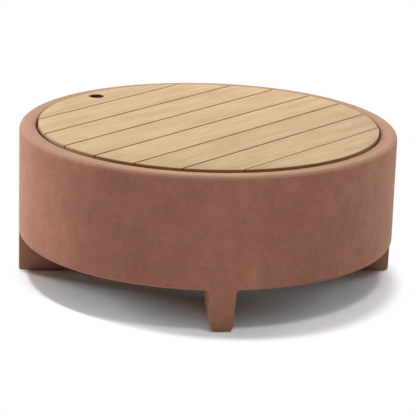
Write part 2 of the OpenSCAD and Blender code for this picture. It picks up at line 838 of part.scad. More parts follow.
module air_mixer() color(steel) difference() {
    rod_z(0, 0, mixer_d, mixer_z, mixer_top);
    rod_z(0, 0, nipple_d + 2 * snug, nipple_z0, mixer_top + cut);
    rod_z(0, 0, nipple_bore, mixer_z + mixer_bottom, nipple_z0 + cut);
    rod_z(0, 0, mixer_d - 2 * mixer_wall, mixer_z + mixer_bottom, mixer_z + mixer_bottom + air_room_h);
    rod_z(0, 0, orifice_d + 2 * snug, mixer_z - cut, mixer_z + mixer_bottom + cut);
    for (a = [0, 90]) translate([0, 0, mixer_z + mixer_bottom + air_room_h / 2]) rotate([0, 90, a])
        translate([0, 0, -mixer_d]) cylinder(d = air_hole_d, h = 2 * mixer_d);
}

module gas_orifice() color(brass) difference() {
    union() {
        translate([0, 0, mixer_z - orifice_hex_h]) hex(orifice_af, orifice_hex_h);
        rod_z(0, 0, orifice_d, mixer_z, mixer_z + orifice_l);
    }
    rod_z(0, 0, gas_bore, mixer_z - orifice_hex_h - cut, mixer_z + orifice_l - orifice_tip);
    rod_z(0, 0, jet_d, mixer_z, mixer_z + orifice_l + cut);
}

module mixer_elbow() color(brass) difference() {
    union() {
        rod_z(0, 0, elbow_d, elbow_z - elbow_d / 2, mixer_z - orifice_hex_h);
        rod_y(0, elbow_z, elbow_side_d, 0, elbow_reach - male_l);
        rod_y(0, elbow_z, male_d, 0, elbow_reach);
    }
    rod_z(0, 0, gas_bore, elbow_z, mixer_z - orifice_hex_h + cut);
    rod_y(0, elbow_z, gas_bore, 0, elbow_reach + cut);
}

// One lump: flat underneath, widest near the middle, with a blunt uneven top. It keeps inside width w.
module rock(w, h, seed) {
    n = rock_sides;
    a = rands(0.80, 1.00, 3 * n, seed);
    spin = rands(0, 360, 4, seed + 1);
    lift = rands(-0.08, 0.08, 3 * n, seed + 2);
    level = [0, 0.42, 0.84];
    width = [0.66, 1.0, 0.70];
    pts = concat([for (k = [0:2], i = [0:n - 1])
        let (r = w / 2 * width[k] * a[k * n + i], t = 360 * (i + k * 0.5) / n + spin[0])
        [r * cos(t), r * sin(t), h * (level[k] + (k == 0 ? 0 : lift[k * n + i]))]], [[0, 0, h]]);
    side = [for (k = [0:1], i = [0:n - 1]) let (p = k * n + i, q = k * n + (i + 1) % n)
        each [[p, p + n, q], [q, p + n, q + n]]];
    base = [for (i = [1:n - 2]) [0, i, i + 1]];
    crown = [for (i = [0:n - 1]) [2 * n + (i + 1) % n, 2 * n + i, 3 * n]];
    polyhedron(points = pts, faces = concat(side, base, crown));
}

// A row of rocks around radius r that leaves out the pilot and, where the row crosses them, the arms
module rock_row(r, z, w, h, count, seed, phase) for (i = [0:count - 1]) {
    a = 360 * (i + phase) / count;
    x = r * cos(a);
    y = r * sin(a);
    near_pilot = abs(x) < guard_screw_x + guard_tab / 2 + w / 2 + rock_gap
        && y > guard_y0 - w / 2 - rock_gap && y < guard_y0 + guard_depth + w / 2 + rock_gap;
    if (!near_pilot) translate([x, y, z + rest_gap])
        rock(w, h * (0.86 + 0.14 * sin(97 * i + 31 * seed)), seed * 100 + i);
}

module lava_rocks() color([0.20, 0.17, 0.17]) {
    between = (burner_r + inner_ring_r) / 2;
    inside = (inner_ring_r - tube_d / 2 + hub_d / 2) / 2;
    rock_row(inside, pan_floor, rock_w, rock_h, 4, 1, 0);
    rock_row(between, pan_floor, rock_w, rock_h, 12, 2, 0);
    for (k = [0:2]) {
        r = burner_r + tube_d / 2 + outer_step * (k + 0.5);
        rock_row(r, pan_floor, outer_rock_w, rock_h,
            floor(2 * PI * r / (outer_rock_w + rock_side_gap)), 3 + k, 0.5 * k);
    }
    for (r = [inner_ring_r, burner_r])
        rock_row(r, tube_z + tube_d / 2, small_rock_w, small_rock_h,
            floor(2 * PI * r / (small_rock_w + small_rock_gap)), r, 0);
}

module heat_shield() color(steel) difference() {
    rod_z(0, 0, 2 * (pan_wall_r - shield_inset), shield_z, shield_top, $fn = 180);
    rod_z(0, 0, mixer_hole_d, shield_z - cut, shield_top + cut);
    rod_z(0, pilot_y, lead_hole_d, shield_z - cut, shield_top + cut);
    translate([0, 0, shield_z]) spacer_places() m4_hole(shield_t);
}

module shield_spacers() color(steel) spacer_places() difference() {
    rod_z(0, 0, spacer_d, shield_top, pan_under);
    translate([0, 0, shield_top]) m4_hole(shield_gap);
}

module pan_screws() color(steel) {
    translate([0, 0, pan_floor]) spacer_places() m4_screw();
    translate([0, 0, shield_z]) mirror([0, 0, 1]) spacer_places() m4_screw();
    translate([0, 0, pan_floor + bracket_t]) bracket_screw_places() m4_screw();
    translate([0, 0, pan_floor + guard_t]) guard_screw_places() m4_screw();
}

module pilot_bracket() color(steel) difference() {
    translate([-bracket_w / 2, bracket_y0, 0]) {
        translate([0, 0, pan_floor]) cube([bracket_w, bracket_depth, bracket_t]);
        translate([0, 0, pan_floor]) cube([bracket_w, bracket_t, shelf_z - pan_floor]);
        translate([0, 0, shelf_z - bracket_t]) cube([bracket_w, shelf_depth, bracket_t]);
    }
    for (s = [-1, 1])
        rod_z(s * pilot_pitch / 2, pilot_y, pilot_hole_d, pan_floor - cut, pan_floor + bracket_t + cut);
    rod_z(pilot_pitch / 2, pilot_y, ceramic_d + 2 * snug, shelf_z - bracket_t - cut, shelf_z + cut);
    rod_z(-pilot_pitch / 2, pilot_y, couple_d + 2 * snug, shelf_z - bracket_t - cut, shelf_z + cut);
    translate([0, 0, pan_floor]) bracket_screw_places() m4_hole(bracket_t);
    bracket_screw_places() rod_z(0, 0, m4_head_d, shelf_z - bracket_t - cut, shelf_z + cut);
}

module pilot_guard() color(steel) difference() {
    union() {
        difference() {
            translate([-guard_w / 2 - guard_t, guard_y0, pan_floor])
                cube([guard_w + 2 * guard_t, guard_depth, guard_h]);
            translate([-guard_w / 2, guard_y0 - cut, pan_floor - cut])
                cube([guard_w, guard_depth - guard_t + cut, guard_h - guard_t + cut]);
        }
        for (s = [0, 1]) mirror([s, 0, 0]) translate([guard_w / 2, pilot_y - guard_tab / 2, pan_floor])
            cube([guard_t + guard_tab, guard_tab, guard_t]);
    }
    for (k = [-1:1]) translate([-guard_w, guard_y0 + guard_depth / 2 + k * slot_pitch - slot_w / 2,
        pan_floor + slot_margin]) cube([2 * guard_w, slot_w, guard_h - 2 * slot_margin]);
    for (k = [-2:2]) translate([k * slot_pitch - slot_w / 2, guard_y0 + slot_margin / 2,
        pan_floor + guard_h - guard_t - cut]) cube([slot_w, guard_depth - slot_margin, guard_t + 2 * cut]);
    translate([0, 0, pan_floor]) guard_screw_places() m4_hole(guard_t);
}

module spark_electrode() color("white") difference() {
    rod_z(pilot_pitch / 2, pilot_y, ceramic_d, ceramic_z0, ceramic_z1);
    rod_z(pilot_pitch / 2, pilot_y, spark_wire_d + 2 * snug, ceramic_z0 - cut, ceramic_z1 + cut);
}

module electrode_wire() color(steel) {
    rod_z(pilot_pitch / 2, pilot_y, spark_wire_d, ceramic_z0, tip_z);
    translate([pilot_pitch / 2, pilot_y, tip_z]) sphere(d = spark_wire_d);
    rod_y(pilot_pitch / 2, tip_z, spark_wire_d, pilot_y - tip_l, pilot_y);
}

module thermocouple() color(copper) {
    rod_z(-pilot_pitch / 2, pilot_y, couple_d, ceramic_z0, couple_z1);
    translate([-pilot_pitch / 2, pilot_y, couple_z1]) sphere(d = couple_d);
}

// A lead that drops from the pilot at a and comes to the controls at b
module pilot_lead(a, b, d) curved_tube([a, a - [0, 0, lead_drop], b - [0, lead_reach, 0], b], d, 8, 36);

module thermocouple_lead() color(copper) pilot_lead(couple_a, couple_b, couple_lead_d);

module spark_lead() color("maroon") pilot_lead(spark_a, spark_b, spark_lead_d);

module control_box() color(steel) difference() {
    union() {
        plate_y(flange_full_w, flange_full_h, flange_r, pocket_y, flange_y);
        plate_y(tray_w, tray_h, tray_r, tray_back, flange_y);
    }
    plate_y(tray_w - 2 * tray_t, tray_h - 2 * tray_t, tray_r - tray_t, tray_floor, flange_y + cut);
    rod_y(knob_x, ctrl_z, neck_d + 2 * snug, tray_back - cut, tray_floor + cut);
    rod_y(igniter_x, ctrl_z, igniter_d + 2 * snug, tray_back - cut, tray_floor + cut);
    for (x = [-1, 1], z = [-1, 1])
        rod_y(x * box_screw_x, ctrl_z + z * box_screw_z, m5_d + 2 * snug, pocket_y - cut, flange_y + cut);
}

module cap_screws() color(steel) {
    for (x = [-1, 1], z = [-1, 1]) translate([x * box_screw_x, flange_y, ctrl_z + z * box_screw_z])
        rotate([-90, 0, 0]) screw(m5_d, m5_l, m5_head_d, box_head_h);
    for (x = [-1, 1]) translate([knob_x + x * foot_screw_x, foot_screw_y, floor_top + upright_t])
        screw(m5_d, m5_l, m5_head_d, m5_head_h);
}

module control_valve() color(brass) difference() {
    union() {
        rod_y(knob_x, ctrl_z, neck_d, tray_back - cut, neck_end);
        rod_y(knob_x, ctrl_z, bonnet_d, valve_front, tray_back);
        translate([knob_x - valve_w / 2, valve_rear, ctrl_z - valve_h / 2])
            cube([valve_w, valve_l, valve_h]);
        rod_y(knob_x, outlet_z, male_d, valve_rear - outlet_l, valve_rear);
        rod_z(knob_x, boss_y, male_d, boss_z, ctrl_z - valve_h / 2);
    }
    rod_y(knob_x, ctrl_z, stem_d + 2 * run_fit, plug_y, neck_end + cut);
    rod_y(knob_x, ctrl_z, plug_d + 2 * run_fit, plug_y - run_fit, plug_y + plug_l + run_fit);
    rod_y(knob_x, outlet_z, gas_bore, valve_rear - outlet_l - cut, boss_y);
    rod_z(knob_x, boss_y, gas_bore, boss_z - cut, ctrl_z);
    rod_y(knob_x, magnet_z, magnet_thread_d + 2 * snug, valve_rear - cut, valve_rear + magnet_grip + snug);
}

module valve_nut() color(steel) difference() {
    translate([knob_x, tray_floor + bezel_t, ctrl_z]) rotate([-90, 0, 0]) hex(panel_nut_af, panel_nut_h);
    rod_y(knob_x, ctrl_z, neck_d + 2 * snug, tray_floor, tray_floor + bezel_t + panel_nut_h + cut);
}

module valve_plug() color(brass) difference() {
    rod_y(knob_x, ctrl_z, plug_d, plug_y, plug_y + plug_l);
    translate([knob_x - tail_w / 2 - snug, plug_y + plug_l - socket_l, ctrl_z - tail_w / 2 - snug])
        cube([tail_w + 2 * snug, socket_l + cut, tail_w + 2 * snug]);
}

module valve_stem() color(steel) {
    translate([knob_x - tail_w / 2, stem_back - tail_l, ctrl_z - tail_w / 2])
        cube([tail_w, tail_l + cut, tail_w]);
    rod_y(knob_x, ctrl_z, stem_d, stem_back, knob_back + cut);
    rod_y(knob_x, ctrl_z, shaft_d, knob_back, stem_end);
}

module control_knob() color(black) difference() {
    union() {
        rod_y(knob_x, ctrl_z, knob_d, knob_back, knob_back + knob_t);
        translate([knob_x - grip_w / 2, knob_back + knob_t - cut, ctrl_z - knob_d / 2 + grip_inset])
            cube([grip_w, grip_h + cut, knob_d - 2 * grip_inset]);
    }
    rod_y(knob_x, ctrl_z, knob_recess_d, knob_back - cut, knob_back + knob_recess);
    rod_y(knob_x, ctrl_z, shaft_d + 2 * snug, knob_back, stem_end + snug);
}

module knob_bezel() color(steel) difference() {
    rod_y(knob_x, ctrl_z, bezel_d, tray_floor, tray_floor + bezel_t);
    rod_y(knob_x, ctrl_z, neck_d + 2 * snug, tray_floor - cut, tray_floor + bezel_t + cut);
}

module safety_magnet() color(brass) {
    rod_y(knob_x, magnet_z, magnet_thread_d, valve_rear - cut, valve_rear + magnet_grip);
    rod_y(knob_x, magnet_z, magnet_d, valve_rear - magnet_can_l, valve_rear);
    translate([knob_x, magnet_y, magnet_z]) rotate([-90, 0, 0]) hex(magnet_af, magnet_l - magnet_can_l + cut);
}

module igniter_body() color(black) difference() {
    union() {
        rod_y(igniter_x, ctrl_z, igniter_d, igniter_rear, tray_floor + collar_t);
        rod_y(igniter_x, ctrl_z, collar_d, tray_floor, tray_floor + collar_t);
        rod_y(igniter_x, ctrl_z, terminal_d, igniter_rear - terminal_l, igniter_rear + cut);
    }
    rod_y(igniter_x, ctrl_z, button_d + 2 * run_fit, bore_end, tray_floor + collar_t + cut);
}

module igniter_nut() color(black) difference() {
    translate([igniter_x, tray_back - igniter_nut_h, ctrl_z]) rotate([-90, 0, 0])
        hex(igniter_nut_af, igniter_nut_h);
    rod_y(igniter_x, ctrl_z, igniter_d + 2 * snug, tray_back - igniter_nut_h - cut, tray_back + cut);
}

module igniter_button() color(black) intersection() {
    rod_y(igniter_x, ctrl_z, button_d, button_rear, button_front);
    translate([igniter_x, button_front - button_dome_r, ctrl_z]) sphere(r = button_dome_r);
}

module button_spring() color(steel) difference() {
    rod_y(igniter_x, ctrl_z, button_d - 2, bore_end + rest_gap, button_rear - rest_gap);
    rod_y(igniter_x, ctrl_z, button_d - 2 - 2 * spring_wall, bore_end, button_rear);
}

module burner_hose() color(steel)
    curved_tube([hose_a, hose_a + [0, hose_reach_a, 0], hose_b - [0, hose_reach_b, 0], hose_b],
        gas_d, 10, 40);

// A flare nut on a joint at the origin: the male end comes from +Z and the tube from -Z
module flare_nut() difference() {
    translate([0, 0, -nut_l / 2]) hex(nut_af, nut_l);
    cylinder(d = male_d + 2 * snug, h = nut_l);
    translate([0, 0, -nut_l]) cylinder(d = gas_d + 2 * snug, h = nut_l + cut);
}

module flare_nuts() color(brass) {
    translate(hose_a) rotate([90, 0, 0]) flare_nut();
    translate(hose_b) rotate([-90, 0, 0]) flare_nut();
    translate([knob_x, boss_y, boss_z]) flare_nut();
    translate([knob_x, neck_out_y, supply_z]) rotate([90, 0, 0]) flare_nut();
}

module supply_run(d, past) {
    rod_y(knob_x, supply_z, d, neck_out_y - past, boss_y - supply_bend);
    translate([knob_x, boss_y - supply_bend, supply_z + supply_bend]) rotate([90, 0, 90])
        rotate([0, 0, -90]) rotate_extrude(angle = 90) translate([supply_bend, 0]) circle(d = d);
    rod_z(knob_x, boss_y, d, supply_z + supply_bend, boss_z + past);
}

module supply_pipe() color(copper) difference() {
    supply_run(gas_d, 0);
    supply_run(gas_bore, cut);
}

module shutoff_body() color(brass) difference() {
    union() {
        rod_y(knob_x, supply_z, shutoff_d, shutoff_end, shutoff_end + shutoff_l);
        rod_y(knob_x, supply_z, male_d, shutoff_y, neck_out_y);
        rod_z(knob_x, shutoff_y, male_d + 2, supply_z, supply_z + bonnet_h);
    }
    translate([knob_x, shutoff_y, supply_z]) sphere(d = ball_d + 2 * rest_gap);
    rod_y(knob_x, supply_z, gas_bore, shutoff_end - cut, neck_out_y + cut);
    rod_y(knob_x, supply_z, male_d + 2 * snug, shutoff_end - cut, shutoff_end + inlet_grip + snug);
    rod_z(knob_x, shutoff_y, shutoff_stem_d + 2 * run_fit, supply_z, supply_z + bonnet_h + cut);
}

module shutoff_ball() color(steel) difference() {
    translate([knob_x, shutoff_y, supply_z]) sphere(d = ball_d);
    translate([knob_x - ball_d, shutoff_y, supply_z]) rotate([0, 90, 0])
        cylinder(d = gas_bore, h = 2 * ball_d);
    rod_z(knob_x, shutoff_y, shutoff_stem_d + 2 * snug, stem_foot_z, supply_z + ball_d);
}

module shutoff_stem() color(brass) {
    rod_z(knob_x, shutoff_y, shutoff_stem_d, stem_foot_z, lever_z);
    rod_z(knob_x, shutoff_y, m5_d, lever_z - cut, lever_z + lever_t + lever_nut_h + cut);
}

module shutoff_lever() color("gold") translate([knob_x, shutoff_y, lever_z]) difference() {
    union() {
        cylinder(d = lever_w + 4, h = lever_t);
        translate([0, -lever_w / 2, 0]) cube([lever_l - lever_w / 2, lever_w, lever_t]);
        translate([lever_l - lever_w / 2, 0, 0]) cylinder(d = lever_w, h = lever_t);
    }
    translate([0, 0, -cut]) cylinder(d = m5_d + 2 * snug, h = lever_t + 2 * cut);
    translate([lever_l - lever_w / 2, 0, -cut]) cylinder(d = lever_hole_d, h = lever_t + 2 * cut);
}

module lever_nut() color(steel) translate([knob_x, shutoff_y, lever_z + lever_t]) difference() {
    hex(lever_nut_af, lever_nut_h);
    translate([0, 0, -cut]) cylinder(d = m5_d + 2 * snug, h = lever_nut_h + 2 * cut);
}

module inlet_fitting() color(brass) difference() {
    union() {
        rod_y(knob_x, supply_z, male_d, inlet_y, shutoff_end + inlet_grip);
        rod_y(knob_x, supply_z, inlet_body_d, inlet_y, shutoff_end - inlet_show);
        rod_z(knob_x, inlet_y, inlet_body_d, inlet_z + male_l, supply_z + inlet_body_d / 2);
        rod_z(knob_x, inlet_y, male_d, inlet_z, supply_z);
    }
    rod_y(knob_x, supply_z, gas_bore, inlet_y, shutoff_y);
    rod_z(knob_x, inlet_y, gas_bore, inlet_z - cut, supply_z);
}

module inlet_bracket() color(steel) difference() {
    translate([knob_x - upright_w / 2, bracket_y, floor_top]) {
        cube([upright_w, foot_l, upright_t]);
        cube([upright_w, upright_t, upright_h]);
    }
    rod_y(knob_x, supply_z, male_d + 2 * snug, bracket_y - cut, bracket_y + upright_t + cut);
    for (x = [-1, 1]) rod_z(knob_x + x * foot_screw_x, foot_screw_y, m5_d + 2 * snug,
        floor_top - cut, floor_top + upright_t + cut);
}

// The two nuts on the bracket, and the one under the burner pan
module locknuts() color(steel) {
    for (y = [bracket_y - bracket_nut_h, bracket_y + upright_t])
        translate([knob_x, y, supply_z]) rotate([-90, 0, 0]) difference() {
            hex(bracket_nut_af, bracket_nut_h);
            translate([0, 0, -cut]) cylinder(d = male_d + 2 * snug, h = bracket_nut_h + 2 * cut);
        }
    difference() {
        translate([0, 0, pan_under - locknut_h]) hex(locknut_af, locknut_h);
        rod_z(0, 0, nipple_d + 2 * snug, pan_under - locknut_h - cut, pan_under + cut);
    }
}

drum_rim();
drum_wall();
drum_back();
drum_floor();
drum_legs();
leg_glides();
threaded_inserts();
lid_board(1);  // lid_board_1
lid_board(2);  // lid_board_2
lid_board(3);  // lid_board_3
lid_board(4);  // lid_board_4
lid_board(5);  // lid_board_5
lid_board(6);  // lid_board_6
lid_board(7);  // lid_board_7
lid_board(8);  // lid_board_8
lid_battens();
lid_screws();
lid_bumpers();
burner_pan();
burner_rings();
burner_hub();
feed_nipple();
air_mixer();
gas_orifice();
mixer_elbow();
lava_rocks();
heat_shield();
shield_spacers();
pan_screws();
pilot_bracket();
pilot_guard();
spark_electrode();
electrode_wire();
thermocouple();
thermocouple_lead();
spark_lead();
control_box();
cap_screws();
control_valve();
valve_nut();
valve_plug();
valve_stem();
control_knob();
knob_bezel();
safety_magnet();
igniter_body();
igniter_nut();
igniter_button();
button_spring();
burner_hose();
flare_nuts();
supply_pipe();
shutoff_body();
shutoff_ball();
shutoff_stem();
shutoff_lever();
lever_nut();
inlet_fitting();
inlet_bracket();
locknuts();
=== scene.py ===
# %% [markdown]
# A round gas fire table, closed with its slatted lid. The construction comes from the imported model,
# which gives every piece its place and size. This script gives the pieces their looks: it builds the
# cast drum, the boards of the lid, the lava rock and the small hardware as finer meshes, and gives
# every other piece a material of nodes. Blender and the frame measure in metres. The cells that shape
# the drum, the hose, the spring and the knob count in millimetres, and scale them down at the end.

# %% Load the frame
import json
import math

import bmesh
import bpy
from mathutils import Matrix, Vector


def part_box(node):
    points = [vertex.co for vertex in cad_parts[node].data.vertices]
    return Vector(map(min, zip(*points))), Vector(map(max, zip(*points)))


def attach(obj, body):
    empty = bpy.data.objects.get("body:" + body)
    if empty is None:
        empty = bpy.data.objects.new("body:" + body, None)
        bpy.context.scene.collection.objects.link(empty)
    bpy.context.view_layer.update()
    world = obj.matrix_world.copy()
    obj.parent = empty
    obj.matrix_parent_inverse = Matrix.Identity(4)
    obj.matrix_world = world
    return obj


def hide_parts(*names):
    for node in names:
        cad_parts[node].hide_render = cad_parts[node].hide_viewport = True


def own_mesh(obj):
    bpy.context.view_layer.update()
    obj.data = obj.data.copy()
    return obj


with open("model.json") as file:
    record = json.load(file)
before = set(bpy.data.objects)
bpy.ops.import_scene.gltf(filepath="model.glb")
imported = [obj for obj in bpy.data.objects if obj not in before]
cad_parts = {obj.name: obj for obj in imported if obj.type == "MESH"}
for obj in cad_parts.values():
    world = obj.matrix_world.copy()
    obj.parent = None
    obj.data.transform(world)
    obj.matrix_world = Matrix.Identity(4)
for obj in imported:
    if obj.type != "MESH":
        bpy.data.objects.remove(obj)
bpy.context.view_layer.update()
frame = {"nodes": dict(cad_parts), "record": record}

nodes = frame["nodes"]
body_of_node = {n: b for b, members in frame["record"]["behaviour"]["bodies"].items() for n in members}

# %% [markdown]
# The camera comes first. The photograph was taken with a long lens from a little above the rim, and the
# camera was turned slightly about its own axis. The four values below were solved from the ellipses of
# the rim and the lid, the board gaps and the legs.

# %% Camera
camera_at = Vector((-0.5503, -5.6613, 1.9029))
camera_aim = Vector((0.00591, -0.00058, 0.18739))
camera_roll = math.radians(1.833)

camera_data = bpy.data.cameras.new("camera")
camera_data.lens = 174.05
camera_data.sensor_width = 36.0
camera = bpy.data.objects.new("camera", camera_data)
look = (camera_aim - camera_at).to_track_quat("-Z", "Y").to_matrix().to_4x4()
camera.matrix_world = Matrix.Translation(camera_at) @ look @ Matrix.Rotation(camera_roll, 4, "Z")
bpy.context.scene.collection.objects.link(camera)
bpy.context.scene.camera = camera
bpy.context.scene.view_settings.view_transform = "Standard"
print("camera", round((camera_aim - camera_at).length, 3), "m from the drum")

# %% [markdown]
# Materials are trees of nodes. One small function adds a node with its settings, and fills its sockets
# with constants or links, so each material below reads as a list of its nodes. Sockets come by name, or
# in their own order, and a node that is given as a value stands for its first output. Colours are
# written as sRGB hex values, as a paint chart gives them, and turned into linear light once, here.

# %% Helpers for materials
MM = 0.001


def srgb(code):
    """The linear colour of an sRGB hex value."""
    channels = [int(code[i : i + 2], 16) / 255 for i in (1, 3, 5)]
    return [c / 12.92 if c <= 0.04045 else ((c + 0.055) / 1.055) ** 2.4 for c in channels] + [1.0]


def fill(tree, node, sockets):
    """Fills a node's sockets, given by name or in order, with constants or links."""
    for key, value in sockets.items() if isinstance(sockets, dict) else enumerate(sockets):
        if isinstance(value, bpy.types.Node):
            value = value.outputs[0]
        if isinstance(value, bpy.types.NodeSocket):
            tree.links.new(value, node.inputs[key])
        else:
            node.inputs[key].default_value = value


def add(tree, kind, sockets=(), stops=(), **settings):
    """Adds a node with its settings, its sockets and, on a colour ramp, its stops (place, hex colour)."""
    node = tree.nodes.new(kind)
    for name, value in settings.items():
        setattr(node, name, value)
    while stops and len(node.color_ramp.elements) < len(stops):
        node.color_ramp.elements.new(0.5)
    for k, (stop, code) in enumerate(stops):
        node.color_ramp.elements[k].position = stop
        node.color_ramp.elements[k].color = srgb(code)
    fill(tree, node, sockets)
    return node


def new_material(name):
    """An empty material with a Principled shader: (material, tree, shader)."""
    material = bpy.data.materials.new(name)
    material.use_nodes = True
    tree = material.node_tree
    return material, tree, tree.nodes["Principled BSDF"]


print("colour check:", [round(c, 3) for c in srgb("#A2705F")])

# %% [markdown]
# The drum is glass-fibre reinforced concrete with a terracotta pigment all through it, sprayed into a
# mould and left bare. That gives a matt, slightly dusty face: broad soft clouds where the pigment
# settled unevenly, a fine sandy grain, and a few pinholes left by air. Four noises of different real
# sizes make the clouds, the patches, the mottle and the grain, and a sparse cell pattern makes the
# pinholes, which are painted dark inside as painted shade. The level top of the rim is painted paler, a
# painted highlight, and the faces under the drum are painted browner, a painted shade.

# %% Terracotta concrete


def terracotta_concrete():
    """Cast pigmented concrete: matt and dusty, clouded at 150, 34 and 9 mm, with sand grain and pinholes."""
    material, tree, shader = new_material("terracotta_concrete")
    where = add(tree, "ShaderNodeTexCoord").outputs["Object"]
    # Each noise: the size of its lumps in millimetres, its detail and its roughness
    clouds, patches, mottle, sand, clusters = [
        add(tree, "ShaderNodeTexNoise",
            {"Vector": where, "Scale": 1000 / size, "Detail": detail, "Roughness": rough})
        for size, detail, rough in ((150, 5, 0.6), (34, 5, 0.6), (9, 4, 0.65), (2.2, 3, 0.6), (60, 1, 0.55))
    ]
    base = add(tree, "ShaderNodeValToRGB", {"Fac": clouds},
               stops=((0.30, "#8F5F50"), (0.50, "#976656"), (0.70, "#9E6C59")))
    worn = add(tree, "ShaderNodeMapRange", (patches, 0.42, 0.66, 0.0, 0.7))
    # A colour mix takes its factor in socket 0 and its colours in 6 and 7, and gives the result in output 2
    base = add(tree, "ShaderNodeMix", {0: worn, 6: base, 7: srgb("#8A614F")}, data_type="RGBA").outputs[2]
    grain = add(tree, "ShaderNodeMapRange", (sand, 0.3, 0.7, 0.90, 1.10))
    speckle = add(tree, "ShaderNodeMapRange", (mottle, 0.3, 0.7, 0.91, 1.09))
    light = add(tree, "ShaderNodeMath", (grain, speckle), operation="MULTIPLY")
    grey = add(tree, "ShaderNodeCombineColor", (light, light, light))
    toned = add(tree, "ShaderNodeMix", {0: 1.0, 6: base, 7: grey}, data_type="RGBA", blend_type="MULTIPLY")
    base = toned.outputs[2]

    # Pinholes: the middles of 14 mm cells, and only where the air gathered in clusters
    cells = add(tree, "ShaderNodeTexVoronoi", {"Vector": where, "Scale": 1000 / 14}, feature="F1")
    middle = add(tree, "ShaderNodeMapRange", (cells, 0.045, 0.075, 1.0, 0.0))
    chance = add(tree, "ShaderNodeMapRange", (clusters, 0.52, 0.56))
    # Besides sinking in the bump, the pinholes are painted dark inside as painted shade
    pinhole = add(tree, "ShaderNodeMath", (middle, chance), operation="MULTIPLY")

    # The rim's level top, which gets a painted highlight, and the faces under the drum that lie inside its outer
    # wall, which get painted shade
    height = add(tree, "ShaderNodeSeparateXYZ", (where,)).outputs["Z"]
    level = add(tree, "ShaderNodeVectorMath", (where, (1, 1, 0)), operation="MULTIPLY")
    radius = add(tree, "ShaderNodeVectorMath", (level,), operation="LENGTH").outputs["Value"]
    painted_rim_highlight = add(tree, "ShaderNodeMapRange", (height, 0.430, 0.439, 0.0, 0.33))
    # Painted shade: the faces low under the drum, inside its outer wall, are tinted olive brown
    low = add(tree, "ShaderNodeMapRange", (height, 0.108, 0.116, 0.55, 0.0))
    inside = add(tree, "ShaderNodeMapRange", (radius, 0.5465, 0.5485, 1.0, 0.0))
    under = add(tree, "ShaderNodeMath", (low, inside), operation="MULTIPLY")
    for share, colour in ((pinhole, "#5E4238"), (painted_rim_highlight, "#CBAC90"), (under, "#98765F")):
        base = add(tree, "ShaderNodeMix", {0: share, 6: base, 7: srgb(colour)}, data_type="RGBA").outputs[2]

    hollow = add(tree, "ShaderNodeMath", (1.0, pinhole), operation="SUBTRACT")
    relief = add(tree, "ShaderNodeMath", (sand, 0.25, hollow), operation="MULTIPLY_ADD")
    relief = add(tree, "ShaderNodeMath", (patches, 0.6, relief), operation="MULTIPLY_ADD")
    fill(tree, shader, {
        "Base Color": base,
        "Roughness": add(tree, "ShaderNodeMapRange", (patches, 0.3, 0.7, 0.62, 0.76)),
        "Specular IOR Level": 0.06,
        # Dust on the bare casting catches the light that skims it
        "Sheen Weight": 0.12,
        "Sheen Roughness": 0.4,
        "Sheen Tint": srgb("#E6E0B0"),
        "Normal": add(tree, "ShaderNodeBump", {"Height": relief, "Distance": 0.5 * MM, "Strength": 0.8}),
    })
    return material


concrete_material = terracotta_concrete()
print("material", concrete_material.name, len(concrete_material.node_tree.nodes), "nodes")

# %% [markdown]
# The drum's mesh follows the way its mould was made. Unrolled, the outside of the drum is a flat sheet
# whose lower edge drops down each leg and comes back up through a fillet. The edge is written once as
# points with the direction into the sheet, and every ring of the rounding, the wall above it and the
# legs' sides behind it follow from those points. Bevelling a boolean would not give the one unbroken
# rounding that runs from the underside into the legs.

# %% The outline of the drum's lower edge
drum_low, drum_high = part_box("drum_legs")[0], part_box("drum_rim")[1]
drum_r = drum_high.x / MM
rim_z = drum_high.z / MM
foot_z = drum_low.z / MM
under_z = 118.0
leg_top_w, leg_foot_w = 78.0, 58.0
# The photograph's feet are softer than the solids', whose corners are 7 mm, so they are rounded more here
leg_corner, leg_fillet = 13.0, 10.0
foot_edge_round, leg_edge_round, drum_edge_round = 6.5, 3.5, 9.5
leg_inner_r = drum_r - 210.0
leg_slope = (leg_top_w - leg_foot_w) / 2 / under_z
leg_lean = math.atan(leg_slope)


def leg_half_width(z):
    """Half the width of a leg at the height z."""
    return leg_foot_w / 2 + leg_slope * z


def half_leg():
    """Half of a leg's edge, from the middle of the foot up to the underside.

    Each point is (x, z, direction into the concrete, edge rounding, share of the drum's own edge)."""
    points = []
    flat_steps, steps, side_steps = 6, 7, 10
    foot_x = leg_half_width(foot_z + leg_corner) - leg_corner / math.cos(leg_lean)
    for k in range(flat_steps):
        points.append((foot_x * k / flat_steps, foot_z, (0, 1), foot_edge_round, 0))
    for k in range(steps + 1):
        a = -math.pi / 2 + (math.pi / 2 - leg_lean) * k / steps
        x, z = foot_x + leg_corner * math.cos(a), foot_z + leg_corner + leg_corner * math.sin(a)
        edge = foot_edge_round + (leg_edge_round - foot_edge_round) * k / steps
        points.append((x, z, (-math.cos(a), -math.sin(a)), edge, 0))
    fillet_z = under_z - leg_fillet
    fillet_x = leg_half_width(fillet_z) + leg_fillet / math.cos(leg_lean)
    side = []
    for k in range(steps + 1):
        a = math.pi - leg_lean - (math.pi / 2 - leg_lean) * k / steps
        share = k / steps
        x, z = fillet_x + leg_fillet * math.cos(a), fillet_z + leg_fillet * math.sin(a)
        edge = leg_edge_round + (drum_edge_round - leg_edge_round) * share
        side.append((x, z, (math.cos(a), math.sin(a)), edge, share))
    low, high = points[-1], side[0]
    for k in range(1, side_steps):
        x, z = (a + (b - a) * k / side_steps for a, b in zip(low[:2], high[:2]))
        points.append((x, z, low[2], leg_edge_round, 0))
    return points + side


leg_points = half_leg()
print(len(leg_points), "points on half a leg; the fillet ends", round(leg_points[-1][0], 2), "mm out")

# %% Columns round the drum


